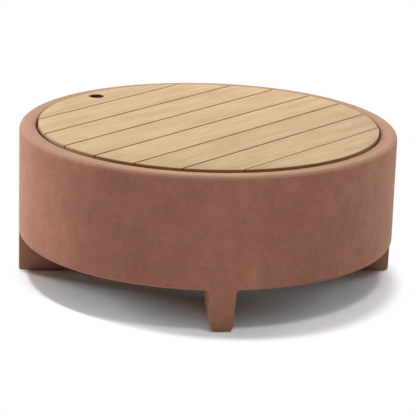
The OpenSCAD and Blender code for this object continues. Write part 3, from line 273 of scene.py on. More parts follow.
def drum_columns():
    """One entry for each upright line of the drum's mesh, all the way round."""
    columns = []
    fillet_end = math.asin(leg_points[-1][0] / drum_r)
    arc_steps = 44
    for leg in range(4):
        turn = math.pi / 2 * leg
        whole = [(-x, z, (-nx, nz), e, s) for x, z, (nx, nz), e, s in reversed(leg_points[1:])] + leg_points
        for x, z, into, edge, share in whole:
            columns.append({"turn": turn, "x": x, "z": z, "into": into, "edge": edge, "share": share, "leg": leg})
        for k in range(1, arc_steps):
            a = turn + fillet_end + (math.pi / 2 - 2 * fillet_end) * k / arc_steps
            columns.append({"turn": a, "x": 0.0, "z": under_z, "into": (0, 1), "edge": drum_edge_round,
                            "share": 1, "leg": -1})
    return columns


def on_drum(column, inset=0.0, depth=0.0):
    """A point of the drum's outside, inset along the sheet and sunk by depth, as (x, y, z)."""
    x = column["x"] + column["into"][0] * inset
    z = column["z"] + column["into"][1] * inset
    y = math.sqrt(drum_r * drum_r - x * x)
    axis, spoke = Vector((0, -1)), Vector((-x, -y)).normalized()
    back = (axis * (1 - column["share"]) + spoke * column["share"]).normalized()
    x, y = x + back.x * depth, y + back.y * depth
    c, s = math.cos(column["turn"]), math.sin(column["turn"])
    return Vector((x * c + y * s, y * c - x * s, z))


columns = drum_columns()
print(len(columns), "columns round the drum")

# %% [markdown]
# Above the lower edge the drum is turned, like a pot on a wheel: rounded rim, the ledge that carries
# the lid, the ledge that carries the burner pan, the beam with its sloped underside, the wall and the
# floor with its open middle. The section is a short list of corners, and one function rounds them.

# %% The drum's turned section
lid_open_r, pan_open_r, bowl_r = 502.0, 476.0, 450.0
lid_seat_z = 419.2
pan_seat_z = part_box("burner_pan")[1].z / MM - 2.0
beam_z = pan_seat_z - 28.0
wall_in_r = drum_r - 26.0
floor_top = 142.0
base_hole_r = 210.0
section_corners = [
    (drum_r, rim_z, 15.0),
    (lid_open_r, rim_z, 6.0),
    (lid_open_r, lid_seat_z, 0.8),
    (pan_open_r, lid_seat_z, 2.0),
    (pan_open_r, pan_seat_z, 0.8),
    (bowl_r, pan_seat_z, 2.0),
    (bowl_r, beam_z, 3.0),
    (wall_in_r, beam_z - 50.0, 6.0),
    (wall_in_r, floor_top, 4.0),
    (base_hole_r, floor_top, 2.5),
    (base_hole_r, under_z, 2.5),
]


def rounded(corners, start, end):
    """The path from start through the corners (x, y, radius) to end, each corner rounded."""
    path = [Vector(start)] + [Vector(c[:2]) for c in corners] + [Vector(end)]
    out = [path[0]]
    for k, (_, _, radius) in enumerate(corners, 1):
        here, before, after = path[k], (path[k - 1] - path[k]).normalized(), (path[k + 1] - path[k]).normalized()
        half = before.angle(after) / 2
        reach = radius / math.tan(half)
        centre = here + (before + after).normalized() * radius / math.sin(half)
        a, b = here + before * reach - centre, here + after * reach - centre
        steps = max(2, round(radius / 1.5))
        total = a.angle_signed(b)
        for j in range(steps + 1):
            turned = a.copy()
            turned.rotate(Matrix.Rotation(-total * j / steps, 2))
            out.append(centre + turned)
    return out + [path[-1]]


# The path starts down the wall and ends under the floor: two points that only give it its directions there
section = rounded(section_corners, (drum_r, rim_z - 40.0), (base_hole_r + 8.0, under_z))[1:-1]
print(len(section), "points in the drum's section")

# %% [markdown]
# The mesh is stitched from rings. Each pair of neighbouring rings becomes a band of quads, the legs'
# sides run straight back along each leg, and the two flat faces that are left, the underside and the
# legs' inner ends, are filled between their borders.

# %% Helpers for meshes


def new_piece(name, bm, material, smooth_angle=35.0):
    """Turns a bmesh in millimetres into an object in metres, shaded smooth up to an angle."""
    bmesh.ops.remove_doubles(bm, verts=bm.verts, dist=0.001)
    bmesh.ops.recalc_face_normals(bm, faces=bm.faces)
    mesh = bpy.data.meshes.new(name)
    bm.to_mesh(mesh)
    bm.free()
    mesh.transform(Matrix.Scale(MM, 4))
    mesh.materials.append(material)
    obj = bpy.data.objects.new(name, mesh)
    bpy.context.scene.collection.objects.link(obj)
    smooth(obj, smooth_angle)
    return obj


def smooth(obj, angle):
    """Smooth shading, with edges kept sharp past an angle in degrees."""
    obj.data.polygons.foreach_set("use_smooth", [True] * len(obj.data.polygons))
    obj.data.set_sharp_from_angle(angle=math.radians(angle))


def apply_modifiers(obj):
    """Turns the object with its modifiers into a plain mesh and drops the modifiers."""
    baked = bpy.data.meshes.new_from_object(obj.evaluated_get(bpy.context.evaluated_depsgraph_get()))
    obj.modifiers.clear()
    obj.data = baked
    return obj


def finish_piece(obj, *replaced):
    """Makes a piece stand for CAD nodes: it rides on their body, and they are hidden."""
    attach(obj, body_of_node[replaced[0]])
    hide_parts(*replaced)
    return obj


def ring(bm, points):
    """New vertices at the points."""
    return [bm.verts.new(p) for p in points]


def band(bm, low, high, closed=True):
    """Quads between two rings of as many vertices."""
    count = len(low) if closed else len(low) - 1
    for k in range(count):
        j = (k + 1) % len(low)
        bm.faces.new((low[k], low[j], high[j], high[k]))


print("meshes are shaped in millimetres:", round(1 / MM), "to a metre")

# %% The drum's rings


def drum_mesh():
    """The whole casting but its control recess, as one closed bmesh."""
    bm = bmesh.new()
    bevel_steps = 6
    rings = []
    for k in range(bevel_steps + 1):
        a = math.pi / 2 * (1 - k / bevel_steps)
        inset, depth = 1 - math.sin(a), 1 - math.cos(a)
        rings.append(ring(bm, [on_drum(c, c["edge"] * inset, c["edge"] * depth) for c in columns]))
    bases = [on_drum(c) for c in columns]
    first, wall_rows = rings[-1], 14
    wall_top = section[0].y
    for k in range(1, wall_rows):
        points = []
        for vert, base in zip(first, bases):
            points.append((base.x, base.y, vert.co.z + (wall_top - vert.co.z) * k / wall_rows))
        rings.append(ring(bm, points))
    for r, z in section:
        rings.append(ring(bm, [(b.x * r / drum_r, b.y * r / drum_r, z) for b in bases]))
    for low, high in zip(rings, rings[1:]):
        band(bm, low, high)
    underside = closed_edges(bm, rings[-1]) + legs_and_border(bm, rings[0])
    bmesh.ops.triangle_fill(bm, use_beauty=True, edges=underside)
    return bm


print("rings of", len(columns), "vertices, from the lower edge to the hole in the floor")

# %% Legs and borders


def closed_edges(bm, loop):
    """The edges round a closed loop of vertices."""
    return [bm.edges.get((a, b)) or bm.edges.new((a, b)) for a, b in zip(loop, loop[1:] + loop[:1])]


def legs_and_border(bm, edge_ring):
    """Runs each leg back from the edge ring to its inner end. Returns the underside's outer border."""
    border, end_steps, run_steps, start = [], 4, 8, 0
    while start < len(columns):
        stop = start
        while stop < len(columns) and columns[stop]["leg"] == columns[start]["leg"]:
            stop += 1
        if columns[start]["leg"] < 0:
            border += [bm.edges.get((edge_ring[k % len(columns)], edge_ring[(k + 1) % len(columns)]))
                       for k in range(start - 1, stop)]
            start = stop
            continue
        rows = [edge_ring[start:stop]]
        leg_columns = columns[start:stop]
        for k in range(1, run_steps + end_steps + 1):
            row = []
            for vert, column in zip(rows[0], leg_columns):
                local = Matrix.Rotation(column["turn"], 3, "Z") @ vert.co
                keep = leg_edge_round * (1 - column["share"])
                if k <= run_steps:
                    y = local.y + (leg_inner_r + leg_edge_round - local.y) * k / run_steps
                    inset = 0.0
                else:
                    a = math.pi / 2 * (k - run_steps) / end_steps
                    y = leg_inner_r + leg_edge_round * (1 - math.sin(a))
                    inset = keep * (1 - math.cos(a))
                x = local.x + column["into"][0] * inset
                z = local.z + column["into"][1] * inset
                row.append(bm.verts.new(Matrix.Rotation(-column["turn"], 3, "Z") @ Vector((x, y, z))))
            rows.append(row)
        for low, high in zip(rows, rows[1:]):
            band(bm, low, high, closed=False)
        bm.faces.new(rows[-1])
        for side in (0, -1):
            border += [bm.edges.get((a[side], b[side])) for a, b in zip(rows, rows[1:])]
        border.append(bm.edges.get((rows[-1][0], rows[-1][-1])))
        start = stop
    return border


print("legs run back from", round(drum_r), "to", round(leg_inner_r), "mm")

# %% The drum
drum = new_piece("terracotta_drum", drum_mesh(), concrete_material)
open_edges = sum(1 for e in drum.data.edges if e.is_loose)
print("drum:", len(drum.data.polygons), "faces,", open_edges, "loose edges")

# %% [markdown]
# The control recess is a stepped pocket through the back of the drum: a narrow hole for the steel tray
# and a wider, shallower seat for its flange. In the mould both are plugs, so here both are cutters, and
# an exact boolean takes them away. Only this local cut is a boolean, so the rest of the mesh stays even.

# %% The control recess
pocket_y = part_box("control_box")[1].y / MM - 1.5
control_z = (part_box("control_box")[0].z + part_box("control_box")[1].z) / 2 / MM


def plate(name, width, height, corner, y_low, y_high):
    """A plate with rounded corners, from y_low to y_high across the Y axis, in millimetres."""
    bm = bmesh.new()
    outline = []
    for sx, sz, start in ((1, 1, 0), (-1, 1, 90), (-1, -1, 180), (1, -1, 270)):
        for k in range(9):
            a = math.radians(start + 90 * k / 8)
            outline.append((sx * (width / 2 - corner) + corner * math.cos(a),
                            control_z + sz * (height / 2 - corner) + corner * math.sin(a)))
    back, front = (ring(bm, [(x, y, z) for x, z in outline]) for y in (y_low, y_high))
    band(bm, back, front)
    bm.faces.new(back)
    bm.faces.new(front)
    return new_piece(name, bm, concrete_material)


def cut(obj, *cutters, operation="DIFFERENCE"):
    """Applies exact booleans and removes their cutters."""
    for cutter in cutters:
        modifier = obj.modifiers.new("cut", "BOOLEAN")
        modifier.object, modifier.operation, modifier.solver = cutter, operation, "EXACT"
    apply_modifiers(obj)
    for cutter in cutters:
        bpy.data.objects.remove(cutter)
    return obj


# Each plug: its width, its height, the radius of its corners, and how far in and out it reaches
tray_plug = plate("tray_plug", 178, 76, 7, 490, pocket_y + 5)
flange_plug = plate("flange_plug", 214, 106, 9, pocket_y, 560)
cut(drum, tray_plug, flange_plug)
smooth(drum, 30)
finish_piece(drum, "drum_rim", "drum_wall", "drum_back", "drum_floor", "drum_legs")
print("drum:", len(drum.data.polygons), "faces, recess seat at y", round(pocket_y, 2), "mm")

# %% [markdown]
# The lid is teak, planed and sanded but never oiled, so it is still blond. Teak's grain runs dead
# straight along each board as fine darker streaks, a few broad bands cross-fade along the length, and
# each board was cut from a different plank. The streaks are noise stretched 34 times along the grain.
# A number stored on each board's mesh shifts the noise and the tone, so no two boards match, and the
# three boards at the front are a little darker.

# %% Teak
board_turn = math.radians(46.0)


def teak(name, turn, shade="#FFFFFF"):
    """Unoiled sanded teak with its grain along the direction turn: satin, with open pores."""
    material, tree, shader = new_material(name)
    number = add(tree, "ShaderNodeAttribute", attribute_name="plank").outputs["Fac"]
    where = add(tree, "ShaderNodeTexCoord").outputs["Object"]
    where = add(tree, "ShaderNodeMapping", {"Vector": where, "Rotation": (0, 0, turn)}, vector_type="TEXTURE")
    shift = add(tree, "ShaderNodeVectorMath", {0: (0.37, 0.013, 1.7), "Scale": number}, operation="SCALE")
    where = add(tree, "ShaderNodeVectorMath", (where, shift), operation="ADD")
    figure = []
    # Each noise: how far it is drawn out along the grain, its width in millimetres, its detail and roughness
    marks = ((9, 34, 3, 0.5), (34, 3.2, 5, 0.65), (26, 0.9, 2, 0.5), (2.2, 110, 2, 0.5))
    for stretch, size, detail, rough in marks:
        drawn = add(tree, "ShaderNodeVectorMath", (where, (1 / stretch, 1, 1)), operation="MULTIPLY")
        figure.append(add(tree, "ShaderNodeTexNoise",
                          {"Vector": drawn, "Scale": 1000 / size, "Detail": detail, "Roughness": rough}))
    bands, streaks, pores, blotch = figure
    base = add(tree, "ShaderNodeValToRGB", {"Fac": bands},
               stops=((0.30, "#B9986D"), (0.50, "#C4A67B"), (0.72, "#CAAF88")))
    darker = add(tree, "ShaderNodeMapRange", (streaks, 0.44, 0.72, 0.0, 0.55))
    browner = add(tree, "ShaderNodeMapRange", (blotch, 0.45, 0.75, 0.0, 0.35))
    for share, colour in ((darker, "#AC8652"), (browner, "#B89465")):
        base = add(tree, "ShaderNodeMix", {0: share, 6: base, 7: srgb(colour)}, data_type="RGBA").outputs[2]

    # Every plank has its own tone, and the planks past number five are darker
    plank = add(tree, "ShaderNodeTexWhiteNoise", {"W": number}, noise_dimensions="1D")
    own = add(tree, "ShaderNodeMapRange", (plank, 0.0, 1.0, 0.89, 0.92))
    front = add(tree, "ShaderNodeMapRange", (number, 5.0, 6.0, 1.0, 0.90))
    tone = add(tree, "ShaderNodeMath", (own, front), operation="MULTIPLY")
    grey = add(tree, "ShaderNodeCombineColor", (tone, tone, tone))
    pore = add(tree, "ShaderNodeMapRange", (pores, 0.62, 0.72))
    dark = add(tree, "ShaderNodeMath", (pore, 0.4), operation="MULTIPLY")
    washes = (("MULTIPLY", 1.0, grey), ("MIX", dark, srgb("#7B592F")), ("MULTIPLY", 1.0, srgb(shade)))
    for mode, share, colour in washes:
        mix = add(tree, "ShaderNodeMix", {0: share, 6: base, 7: colour}, data_type="RGBA", blend_type=mode)
        base = mix.outputs[2]
    relief = add(tree, "ShaderNodeMath", (pore, -0.6, streaks), operation="MULTIPLY_ADD")
    fill(tree, shader, {
        "Base Color": base,
        "Roughness": add(tree, "ShaderNodeMapRange", (streaks, 0.3, 0.7, 0.50, 0.66)),
        "Specular IOR Level": 0.35,
        "Normal": add(tree, "ShaderNodeBump", {"Height": relief, "Distance": 0.25 * MM, "Strength": 0.6}),
    })
    return material


board_teak = teak("teak_boards", board_turn)
batten_teak = teak("teak_battens", board_turn + math.pi / 2)
# The sawn ends at the lid's edge are painted darker than the planed faces, as painted shade
painted_shade_end_teak = teak("teak_ends_painted_shade", board_turn, "#C6AA80")
# Between the boards the wood gets painted shade, and in the finger hole the painted shade is darker and redder
# still
painted_shade_gap_teak = teak("teak_gaps_painted_shade", board_turn, "#A8874C")
painted_shade_hole_teak = teak("teak_finger_hole_painted_shade", board_turn, "#8A4826")
print("materials", board_teak.name, batten_teak.name, painted_shade_end_teak.name, painted_shade_gap_teak.name, painted_shade_hole_teak.name)

# %% [markdown]
# Every board is the same cut: a strip of the lid's disc between two parallel lines. That is a rule, so
# one Geometry Nodes tree makes them all. A grid is bent over the strip: its rows follow the angle round
# the disc, so the curved ends are exact arcs, and the strip is then thickened. The eight boards are the
# same tree with other numbers, and a bevel takes their arrises off. The finger hole is cut in the
# first board before its bevel.

# %% Helpers for Geometry Nodes


def new_tree(name, **inputs):
    """A geometry tree with named inputs, given as name=(socket type, default): (tree, input node)."""
    tree = bpy.data.node_groups.new(name, "GeometryNodeTree")
    for label, (kind, default) in inputs.items():
        socket = tree.interface.new_socket(label, in_out="INPUT", socket_type=kind)
        if default is not None:
            socket.default_value = default
    tree.interface.new_socket("Geometry", in_out="OUTPUT", socket_type="NodeSocketGeometry")
    return tree, tree.nodes.new("NodeGroupInput")


def end_tree(tree, geometry, material):
    """Closes a tree: real geometry, its material, and the output."""
    real = add(tree, "GeometryNodeRealizeInstances", {"Geometry": geometry})
    painted = add(tree, "GeometryNodeSetMaterial", {"Geometry": real, "Material": material})
    add(tree, "NodeGroupOutput", {"Geometry": painted})


def run_tree(tree, name, mesh=None, **values):
    """Puts a tree on a new object, with values for its named inputs."""
    obj = bpy.data.objects.new(name, mesh or bpy.data.meshes.new(name))
    bpy.context.scene.collection.objects.link(obj)
    modifier = obj.modifiers.new(tree.name, "NODES")
    modifier.node_group = tree
    for item in tree.interface.items_tree:
        if item.in_out == "INPUT" and item.name in values:
            modifier[item.identifier] = values[item.name]
    return obj


FLOAT, COUNT, MESH = "NodeSocketFloat", "NodeSocketInt", "NodeSocketGeometry"
print("socket types for the trees:", FLOAT, COUNT, MESH)

# %% The board tree


def board_tree():
    """A strip of the lid's disc, between the angles Start and End round it."""
    tree, given = new_tree("board_of_a_round_lid", Radius=(FLOAT, 0.5), Start=(FLOAT, 0.0), End=(FLOAT, 0.2),
                           Top=(FLOAT, 0.4), Thickness=(FLOAT, 0.02))
    radius, start, end, top, thickness = list(given.outputs)[:5]
    grid = add(tree, "GeometryNodeMeshGrid", {"Size X": 2.0, "Size Y": 1.0, "Vertices X": 9, "Vertices Y": 33})
    at = add(tree, "ShaderNodeSeparateXYZ", (add(tree, "GeometryNodeInputPosition"),))
    share = add(tree, "ShaderNodeMath", (at.outputs["Y"], 0.5), operation="ADD")
    sweep = add(tree, "ShaderNodeMath", (end, start), operation="SUBTRACT")
    angle = add(tree, "ShaderNodeMath", (share, sweep, start), operation="MULTIPLY_ADD")
    sine, cosine = [add(tree, "ShaderNodeMath", (angle,), operation=wave) for wave in ("SINE", "COSINE")]
    reach, y = [add(tree, "ShaderNodeMath", (wave, radius), operation="MULTIPLY") for wave in (cosine, sine)]
    x = add(tree, "ShaderNodeMath", (at.outputs["X"], reach), operation="MULTIPLY")
    spot = add(tree, "ShaderNodeCombineXYZ", (x, y, top))
    face = add(tree, "GeometryNodeSetPosition", {"Geometry": grid, "Position": spot})
    # The strips at the lid's edge end in a point, where a whole row of the grid falls together
    face = add(tree, "GeometryNodeMergeByDistance", {"Geometry": face, "Distance": 1e-5})
    down = add(tree, "ShaderNodeMath", (thickness, -1.0), operation="MULTIPLY")
    down = add(tree, "ShaderNodeCombineXYZ", {"Z": down})
    sunk = add(tree, "GeometryNodeExtrudeMesh", {"Mesh": face, "Offset": down, "Individual": False})
    joined = add(tree, "GeometryNodeJoinGeometry")
    for part in (sunk, add(tree, "GeometryNodeFlipFaces", {"Mesh": face})):
        tree.links.new(part.outputs[0], joined.inputs[0])
    end_tree(tree, add(tree, "GeometryNodeMergeByDistance", {"Geometry": joined, "Distance": 1e-5}), board_teak)
    return tree


slat = board_tree()
print("tree", slat.name, "with", len(slat.nodes), "nodes")

# %% The finger hole and the woods of a board
lid_r = 0.496
finger_at, finger_r = Vector((0.015, 0.453)), 0.023


def round_cutter(name, centre, radius, low, high):
    """A plain cylinder that a boolean takes away."""
    bpy.ops.mesh.primitive_cylinder_add(vertices=72, radius=radius, depth=high - low)
    cutter = bpy.context.object
    cutter.name = name
    cutter.data.materials.append(board_teak)
    cutter.location = (*centre, (low + high) / 2)
    bpy.context.view_layer.update()
    return cutter


def paint_board(board, has_hole):
    """Planed wood on the faces, and painted shade on the wood in the gaps, on the sawn ends and in the hole."""
    woods = (board_teak, painted_shade_end_teak, painted_shade_gap_teak, painted_shade_hole_teak)
    end_reach, hole_reach, level = lid_r - 0.002, finger_r + 0.003, 0.93
    board.data.materials.clear()
    for wood in woods:
        board.data.materials.append(wood)
    for face in board.data.polygons:
        at = Vector(face.center[:2])
        wood = painted_shade_end_teak if at.length > end_reach else painted_shade_gap_teak
        if has_hole and (at - finger_at).length < hole_reach:
            wood = painted_shade_hole_teak
        if abs(face.normal.z) > level:
            wood = board_teak
        face.material_index = woods.index(wood)


print("finger hole", round(2 * finger_r / MM), "mm across, in a lid", round(2 * lid_r / MM), "mm across")

# %% The eight boards
board_pitch, board_gap, board_count, arris = 0.127, 0.003, 8, 0.0018
for i in range(1, board_count + 1):
    low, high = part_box(f"lid_board_{i}")
    middle = (board_count + 1 - 2 * i) / 2 * board_pitch
    near, far = middle - (board_pitch - board_gap) / 2, middle + (board_pitch - board_gap) / 2
    near, far = (-lid_r if i == board_count else near), (lid_r if i == 1 else far)
    board = run_tree(slat, f"teak_board_{i}", Radius=lid_r, Start=math.asin(near / lid_r),
                     End=math.asin(far / lid_r), Top=high.z, Thickness=high.z - low.z)
    if i == 1:
        hole = board.modifiers.new("finger_hole", "BOOLEAN")
        hole.object = round_cutter("finger_cutter", finger_at, finger_r, low.z - 0.01, high.z + 0.01)
    bevel = board.modifiers.new("arris", "BEVEL")
    bevel.width, bevel.segments, bevel.limit_method = arris, 2, "ANGLE"
    apply_modifiers(board)
    paint_board(board, i == 1)
    board.data.transform(Matrix.Rotation(board_turn, 4, "Z"))
    numbers = [float(i)] * len(board.data.vertices)
    board.data.attributes.new("plank", "FLOAT", "POINT").data.foreach_set("value", numbers)
    smooth(board, 32)
    finish_piece(board, f"lid_board_{i}")
bpy.data.objects.remove(bpy.data.objects["finger_cutter"])
print("boards:", board_count, "with", len(board.data.polygons), "faces on the last")

# %% [markdown]
# The hardware under the lid keeps its CAD shape, which is already exact, and gets the finish of the metal
# or plastic it is made of. Each material below starts from what the real one is. A metal is one grey or
# gold colour; what tells brushed sheet from a casting or a drawn tube is how its roughness runs, so most
# of these trees drive roughness and bump, and leave the colour nearly alone.

# %% Metals


def metal(name, colour, marks_mm, stretch, rough, depth_mm=0.02, stain=None, stain_mm=30, stain_share=0.4):
    """A bare metal with tool marks marks_mm wide, drawn out as stretch says, and an optional stain."""
    material, tree, shader = new_material(name)
    where = add(tree, "ShaderNodeTexCoord").outputs["Object"]
    drawn = add(tree, "ShaderNodeMapping", {"Vector": where, "Scale": stretch})
    marks, clouds = [
        add(tree, "ShaderNodeTexNoise", {"Vector": at, "Scale": 1000 / size, "Detail": 4, "Roughness": 0.6})
        for at, size in ((drawn, marks_mm), (where, stain_mm))
    ]
    light = add(tree, "ShaderNodeMapRange", (marks, 0.3, 0.7, 0.90, 1.06))
    base = add(tree, "ShaderNodeMix",
               {0: 1.0, 6: srgb(colour), 7: add(tree, "ShaderNodeCombineColor", (light, light, light))},
               data_type="RGBA", blend_type="MULTIPLY").outputs[2]
    if stain:
        share = add(tree, "ShaderNodeMapRange", (clouds, 0.45, 0.70, 0.0, stain_share))
        base = add(tree, "ShaderNodeMix", {0: share, 6: base, 7: srgb(stain)}, data_type="RGBA").outputs[2]
    worn = add(tree, "ShaderNodeMath", (clouds, 0.25, marks), operation="MULTIPLY_ADD")
    fill(tree, shader, {
        "Base Color": base,
        "Metallic": 1.0,
        "Roughness": add(tree, "ShaderNodeMapRange", (worn, 0.35, 0.90, *rough)),
        "Normal": add(tree, "ShaderNodeBump", {"Height": marks, "Distance": depth_mm * MM, "Strength": 0.5}),
    })
    return material


# Brushed 304 sheet: even grey, a soft gleam drawn out across the brush lines
brushed_stainless = metal("brushed_stainless", "#B4B6B8", 0.6, (0.03, 1, 1), (0.24, 0.44))
# The same steel after a season over the flame: straw and brown in clouds, duller
fired_stainless = metal("fired_stainless", "#A9A39A", 1.2, (1, 1, 1), (0.34, 0.56), 0.05, "#7B5A3C", 45, 0.55)
# Cold-headed stainless fasteners: smooth and bright
stainless_fasteners = metal("stainless_fasteners", "#BEC0C2", 0.8, (1, 1, 0.2), (0.18, 0.36))
# Turned brass: yellow, with rings from the tool and a little tarnish
yellow_brass = metal("yellow_brass", "#C9A45A", 0.5, (1, 1, 1), (0.22, 0.42), 0.02, "#8F6B33", 14, 0.35)
# Drawn copper tube: smooth along its length, browned by air
copper_tube = metal("copper_tube", "#C17F5E", 1.5, (1, 0.1, 1), (0.22, 0.42), 0.015, "#7A4630", 22, 0.5)


def galvanised_steel():
    """Hot-dip zinc: grey crystals 12 mm across, each a little lighter or darker than the next."""
    material, tree, shader = new_material("galvanised_steel")
    where = add(tree, "ShaderNodeTexCoord").outputs["Object"]
    cells = add(tree, "ShaderNodeTexVoronoi", {"Vector": where, "Scale": 1000 / 12}, feature="F1")
    flake = add(tree, "ShaderNodeSeparateColor", (cells.outputs["Color"],))
    crust = add(tree, "ShaderNodeTexNoise", {"Vector": where, "Scale": 1000 / 3, "Detail": 3, "Roughness": 0.55})
    fill(tree, shader, {
        "Base Color": add(tree, "ShaderNodeValToRGB", {"Fac": flake},
                          stops=((0.0, "#979B9D"), (0.5, "#A2A5A7"), (1.0, "#ADB0B1"))),
        "Metallic": 1.0,
        "Roughness": add(tree, "ShaderNodeMapRange", (flake, 0.0, 1.0, 0.42, 0.52)),
        "Normal": add(tree, "ShaderNodeBump", {"Height": crust, "Distance": 0.04 * MM, "Strength": 0.5}),
    })
    return material


galvanised = galvanised_steel()
print("metals:", [m.name for m in (brushed_stainless, fired_stainless, yellow_brass, copper_tube, galvanised)])

# %% Plastics, rubber, ceramic


def moulded(name, colour, grain_mm, rough, depth_mm, second=None, level=0.5):
    """A moulded or dipped piece: one colour, a fine grain, and roughness that drifts a little."""
    material, tree, shader = new_material(name)
    where = add(tree, "ShaderNodeTexCoord").outputs["Object"]
    grain, clouds = [
        add(tree, "ShaderNodeTexNoise", {"Vector": where, "Scale": 1000 / size, "Detail": 3, "Roughness": 0.5})
        for size in (grain_mm, 25)
    ]
    share = add(tree, "ShaderNodeMapRange", (clouds, 0.35, 0.70, 0.0, 0.6))
    base = add(tree, "ShaderNodeMix", {0: share, 6: srgb(colour), 7: srgb(second or colour)}, data_type="RGBA")
    fill(tree, shader, {
        "Base Color": base.outputs[2],
        "Roughness": add(tree, "ShaderNodeMapRange", (clouds, 0.3, 0.7, *rough)),
        "Specular IOR Level": level,
        "Normal": add(tree, "ShaderNodeBump", {"Height": grain, "Distance": depth_mm * MM, "Strength": 0.6}),
    })
    return material


# Phenolic: hard, black, nearly glossy, the plastic that knobs near heat are made of
black_phenolic = moulded("black_phenolic", "#171717", 1.5, (0.28, 0.36), 0.03, "#1F1F1E")
# Nylon glides: waxy, dull black, scuffed grey
black_nylon = moulded("black_nylon", "#1B1B1C", 2.0, (0.48, 0.62), 0.06, "#2A2A2B")
# EPDM rubber pads: matt, dusty
black_rubber = moulded("black_rubber", "#202020", 1.0, (0.75, 0.88), 0.05, "#2C2B2A", 0.3)
# Silicone insulation of the high-tension lead: soft brick red
red_silicone = moulded("red_silicone", "#A5301F", 2.0, (0.45, 0.58), 0.03, "#942A1D", 0.4)
# Alumina: white, fired, a faint cream
white_ceramic = moulded("white_ceramic", "#ECE9E1", 0.8, (0.25, 0.38), 0.02, "#E2DDD1")
# Vinyl dip on the valve's lever: thick yellow skin with soft edges
yellow_vinyl = moulded("yellow_vinyl", "#E0AE22", 6.0, (0.32, 0.44), 0.15, "#D6A31C")
# Pad-printed ink for the pointer and the scale: flat white and flat black
white_ink = moulded("white_ink", "#EDEDEA", 0.5, (0.5, 0.6), 0.01)
black_ink = moulded("black_ink", "#1C1C1C", 0.5, (0.5, 0.6), 0.01)
print("moulded:", black_phenolic.name, black_nylon.name, black_rubber.name, red_silicone.name)

# %% Finishes on the CAD pieces
finishes = {
    batten_teak: ["lid_battens"],
    brushed_stainless: ["burner_pan", "air_mixer", "control_box", "knob_bezel", "pilot_bracket"],
    fired_stainless: ["burner_rings", "burner_hub", "pilot_guard"],
    galvanised: ["heat_shield", "shield_spacers", "inlet_bracket"],
    yellow_brass: ["threaded_inserts", "feed_nipple", "gas_orifice", "mixer_elbow", "control_valve",
                   "valve_plug", "safety_magnet", "flare_nuts", "shutoff_body", "shutoff_stem", "inlet_fitting"],
    copper_tube: ["thermocouple", "supply_pipe"],
    white_ceramic: ["spark_electrode"],
    black_phenolic: ["igniter_body", "igniter_nut", "igniter_button"],
    black_nylon: ["leg_glides"],
    black_rubber: ["lid_bumpers"],
    yellow_vinyl: ["shutoff_lever"],
    stainless_fasteners: ["lid_screws", "pan_screws", "cap_screws", "valve_nut", "locknuts", "lever_nut",
                          "electrode_wire", "valve_stem", "shutoff_ball"],
}
for finish, members in finishes.items():
    for member in members:
        nodes[member].data.materials.clear()
        nodes[member].data.materials.append(finish)
print(sum(len(m) for m in finishes.values()), "CAD pieces painted")

# %% [markdown]
# Lava rock is a foam of stone that was broken with a hammer: sharp lumps, all over with holes from one to
# five millimetres. The CAD lumps have the right places and sizes but a few flat faces each. Each lump's
# middle and reach are stored on its vertices. A Geometry Nodes tree cuts every face finer, pushes it out
# towards the ball that the lump's corners lie on, and breaks that ball inwards by three noises, so that
# no lump grows out of its place. The small holes are bump: cells of two sizes, painted dark inside as
# painted shade.

# %% Lava rock


def lava_rock():
    """Scoria: near-black with a rust cast, dead matt, pitted at 5.5 mm and 1.8 mm."""
    material, tree, shader = new_material("lava_rock")
    where = add(tree, "ShaderNodeTexCoord").outputs["Object"]
    big, fine = [
        add(tree, "ShaderNodeTexVoronoi", {"Vector": where, "Scale": 1000 / size}, feature="F1")
        for size in (5.5, 1.8)
    ]
    big = add(tree, "ShaderNodeMapRange", (big, 0.1, 0.45))
    fine = add(tree, "ShaderNodeMapRange", (fine, 0.1, 0.5))
    pit = add(tree, "ShaderNodeMath", (big, fine), operation="MULTIPLY")
    rust = add(tree, "ShaderNodeTexNoise", {"Vector": where, "Scale": 1000 / 60, "Detail": 4, "Roughness": 0.6})
    base = add(tree, "ShaderNodeValToRGB", {"Fac": rust},
               stops=((0.35, "#383231"), (0.55, "#463A37"), (0.72, "#5C4038")))
    # Painted shade: the pits are painted near black inside
    shade = add(tree, "ShaderNodeMapRange", (pit, 0.0, 1.0, 0.75, 0.0))
    base = add(tree, "ShaderNodeMix", {0: shade, 6: base, 7: srgb("#151212")}, data_type="RGBA").outputs[2]
    fill(tree, shader, {
        "Base Color": base,
        "Roughness": 0.95,
        "Specular IOR Level": 0.2,
        "Normal": add(tree, "ShaderNodeBump", {"Height": pit, "Distance": 1.6 * MM, "Strength": 1.0}),
    })
    return material


lava = lava_rock()
print("material", lava.name, len(lava.node_tree.nodes), "nodes")

# %% The broken stone tree


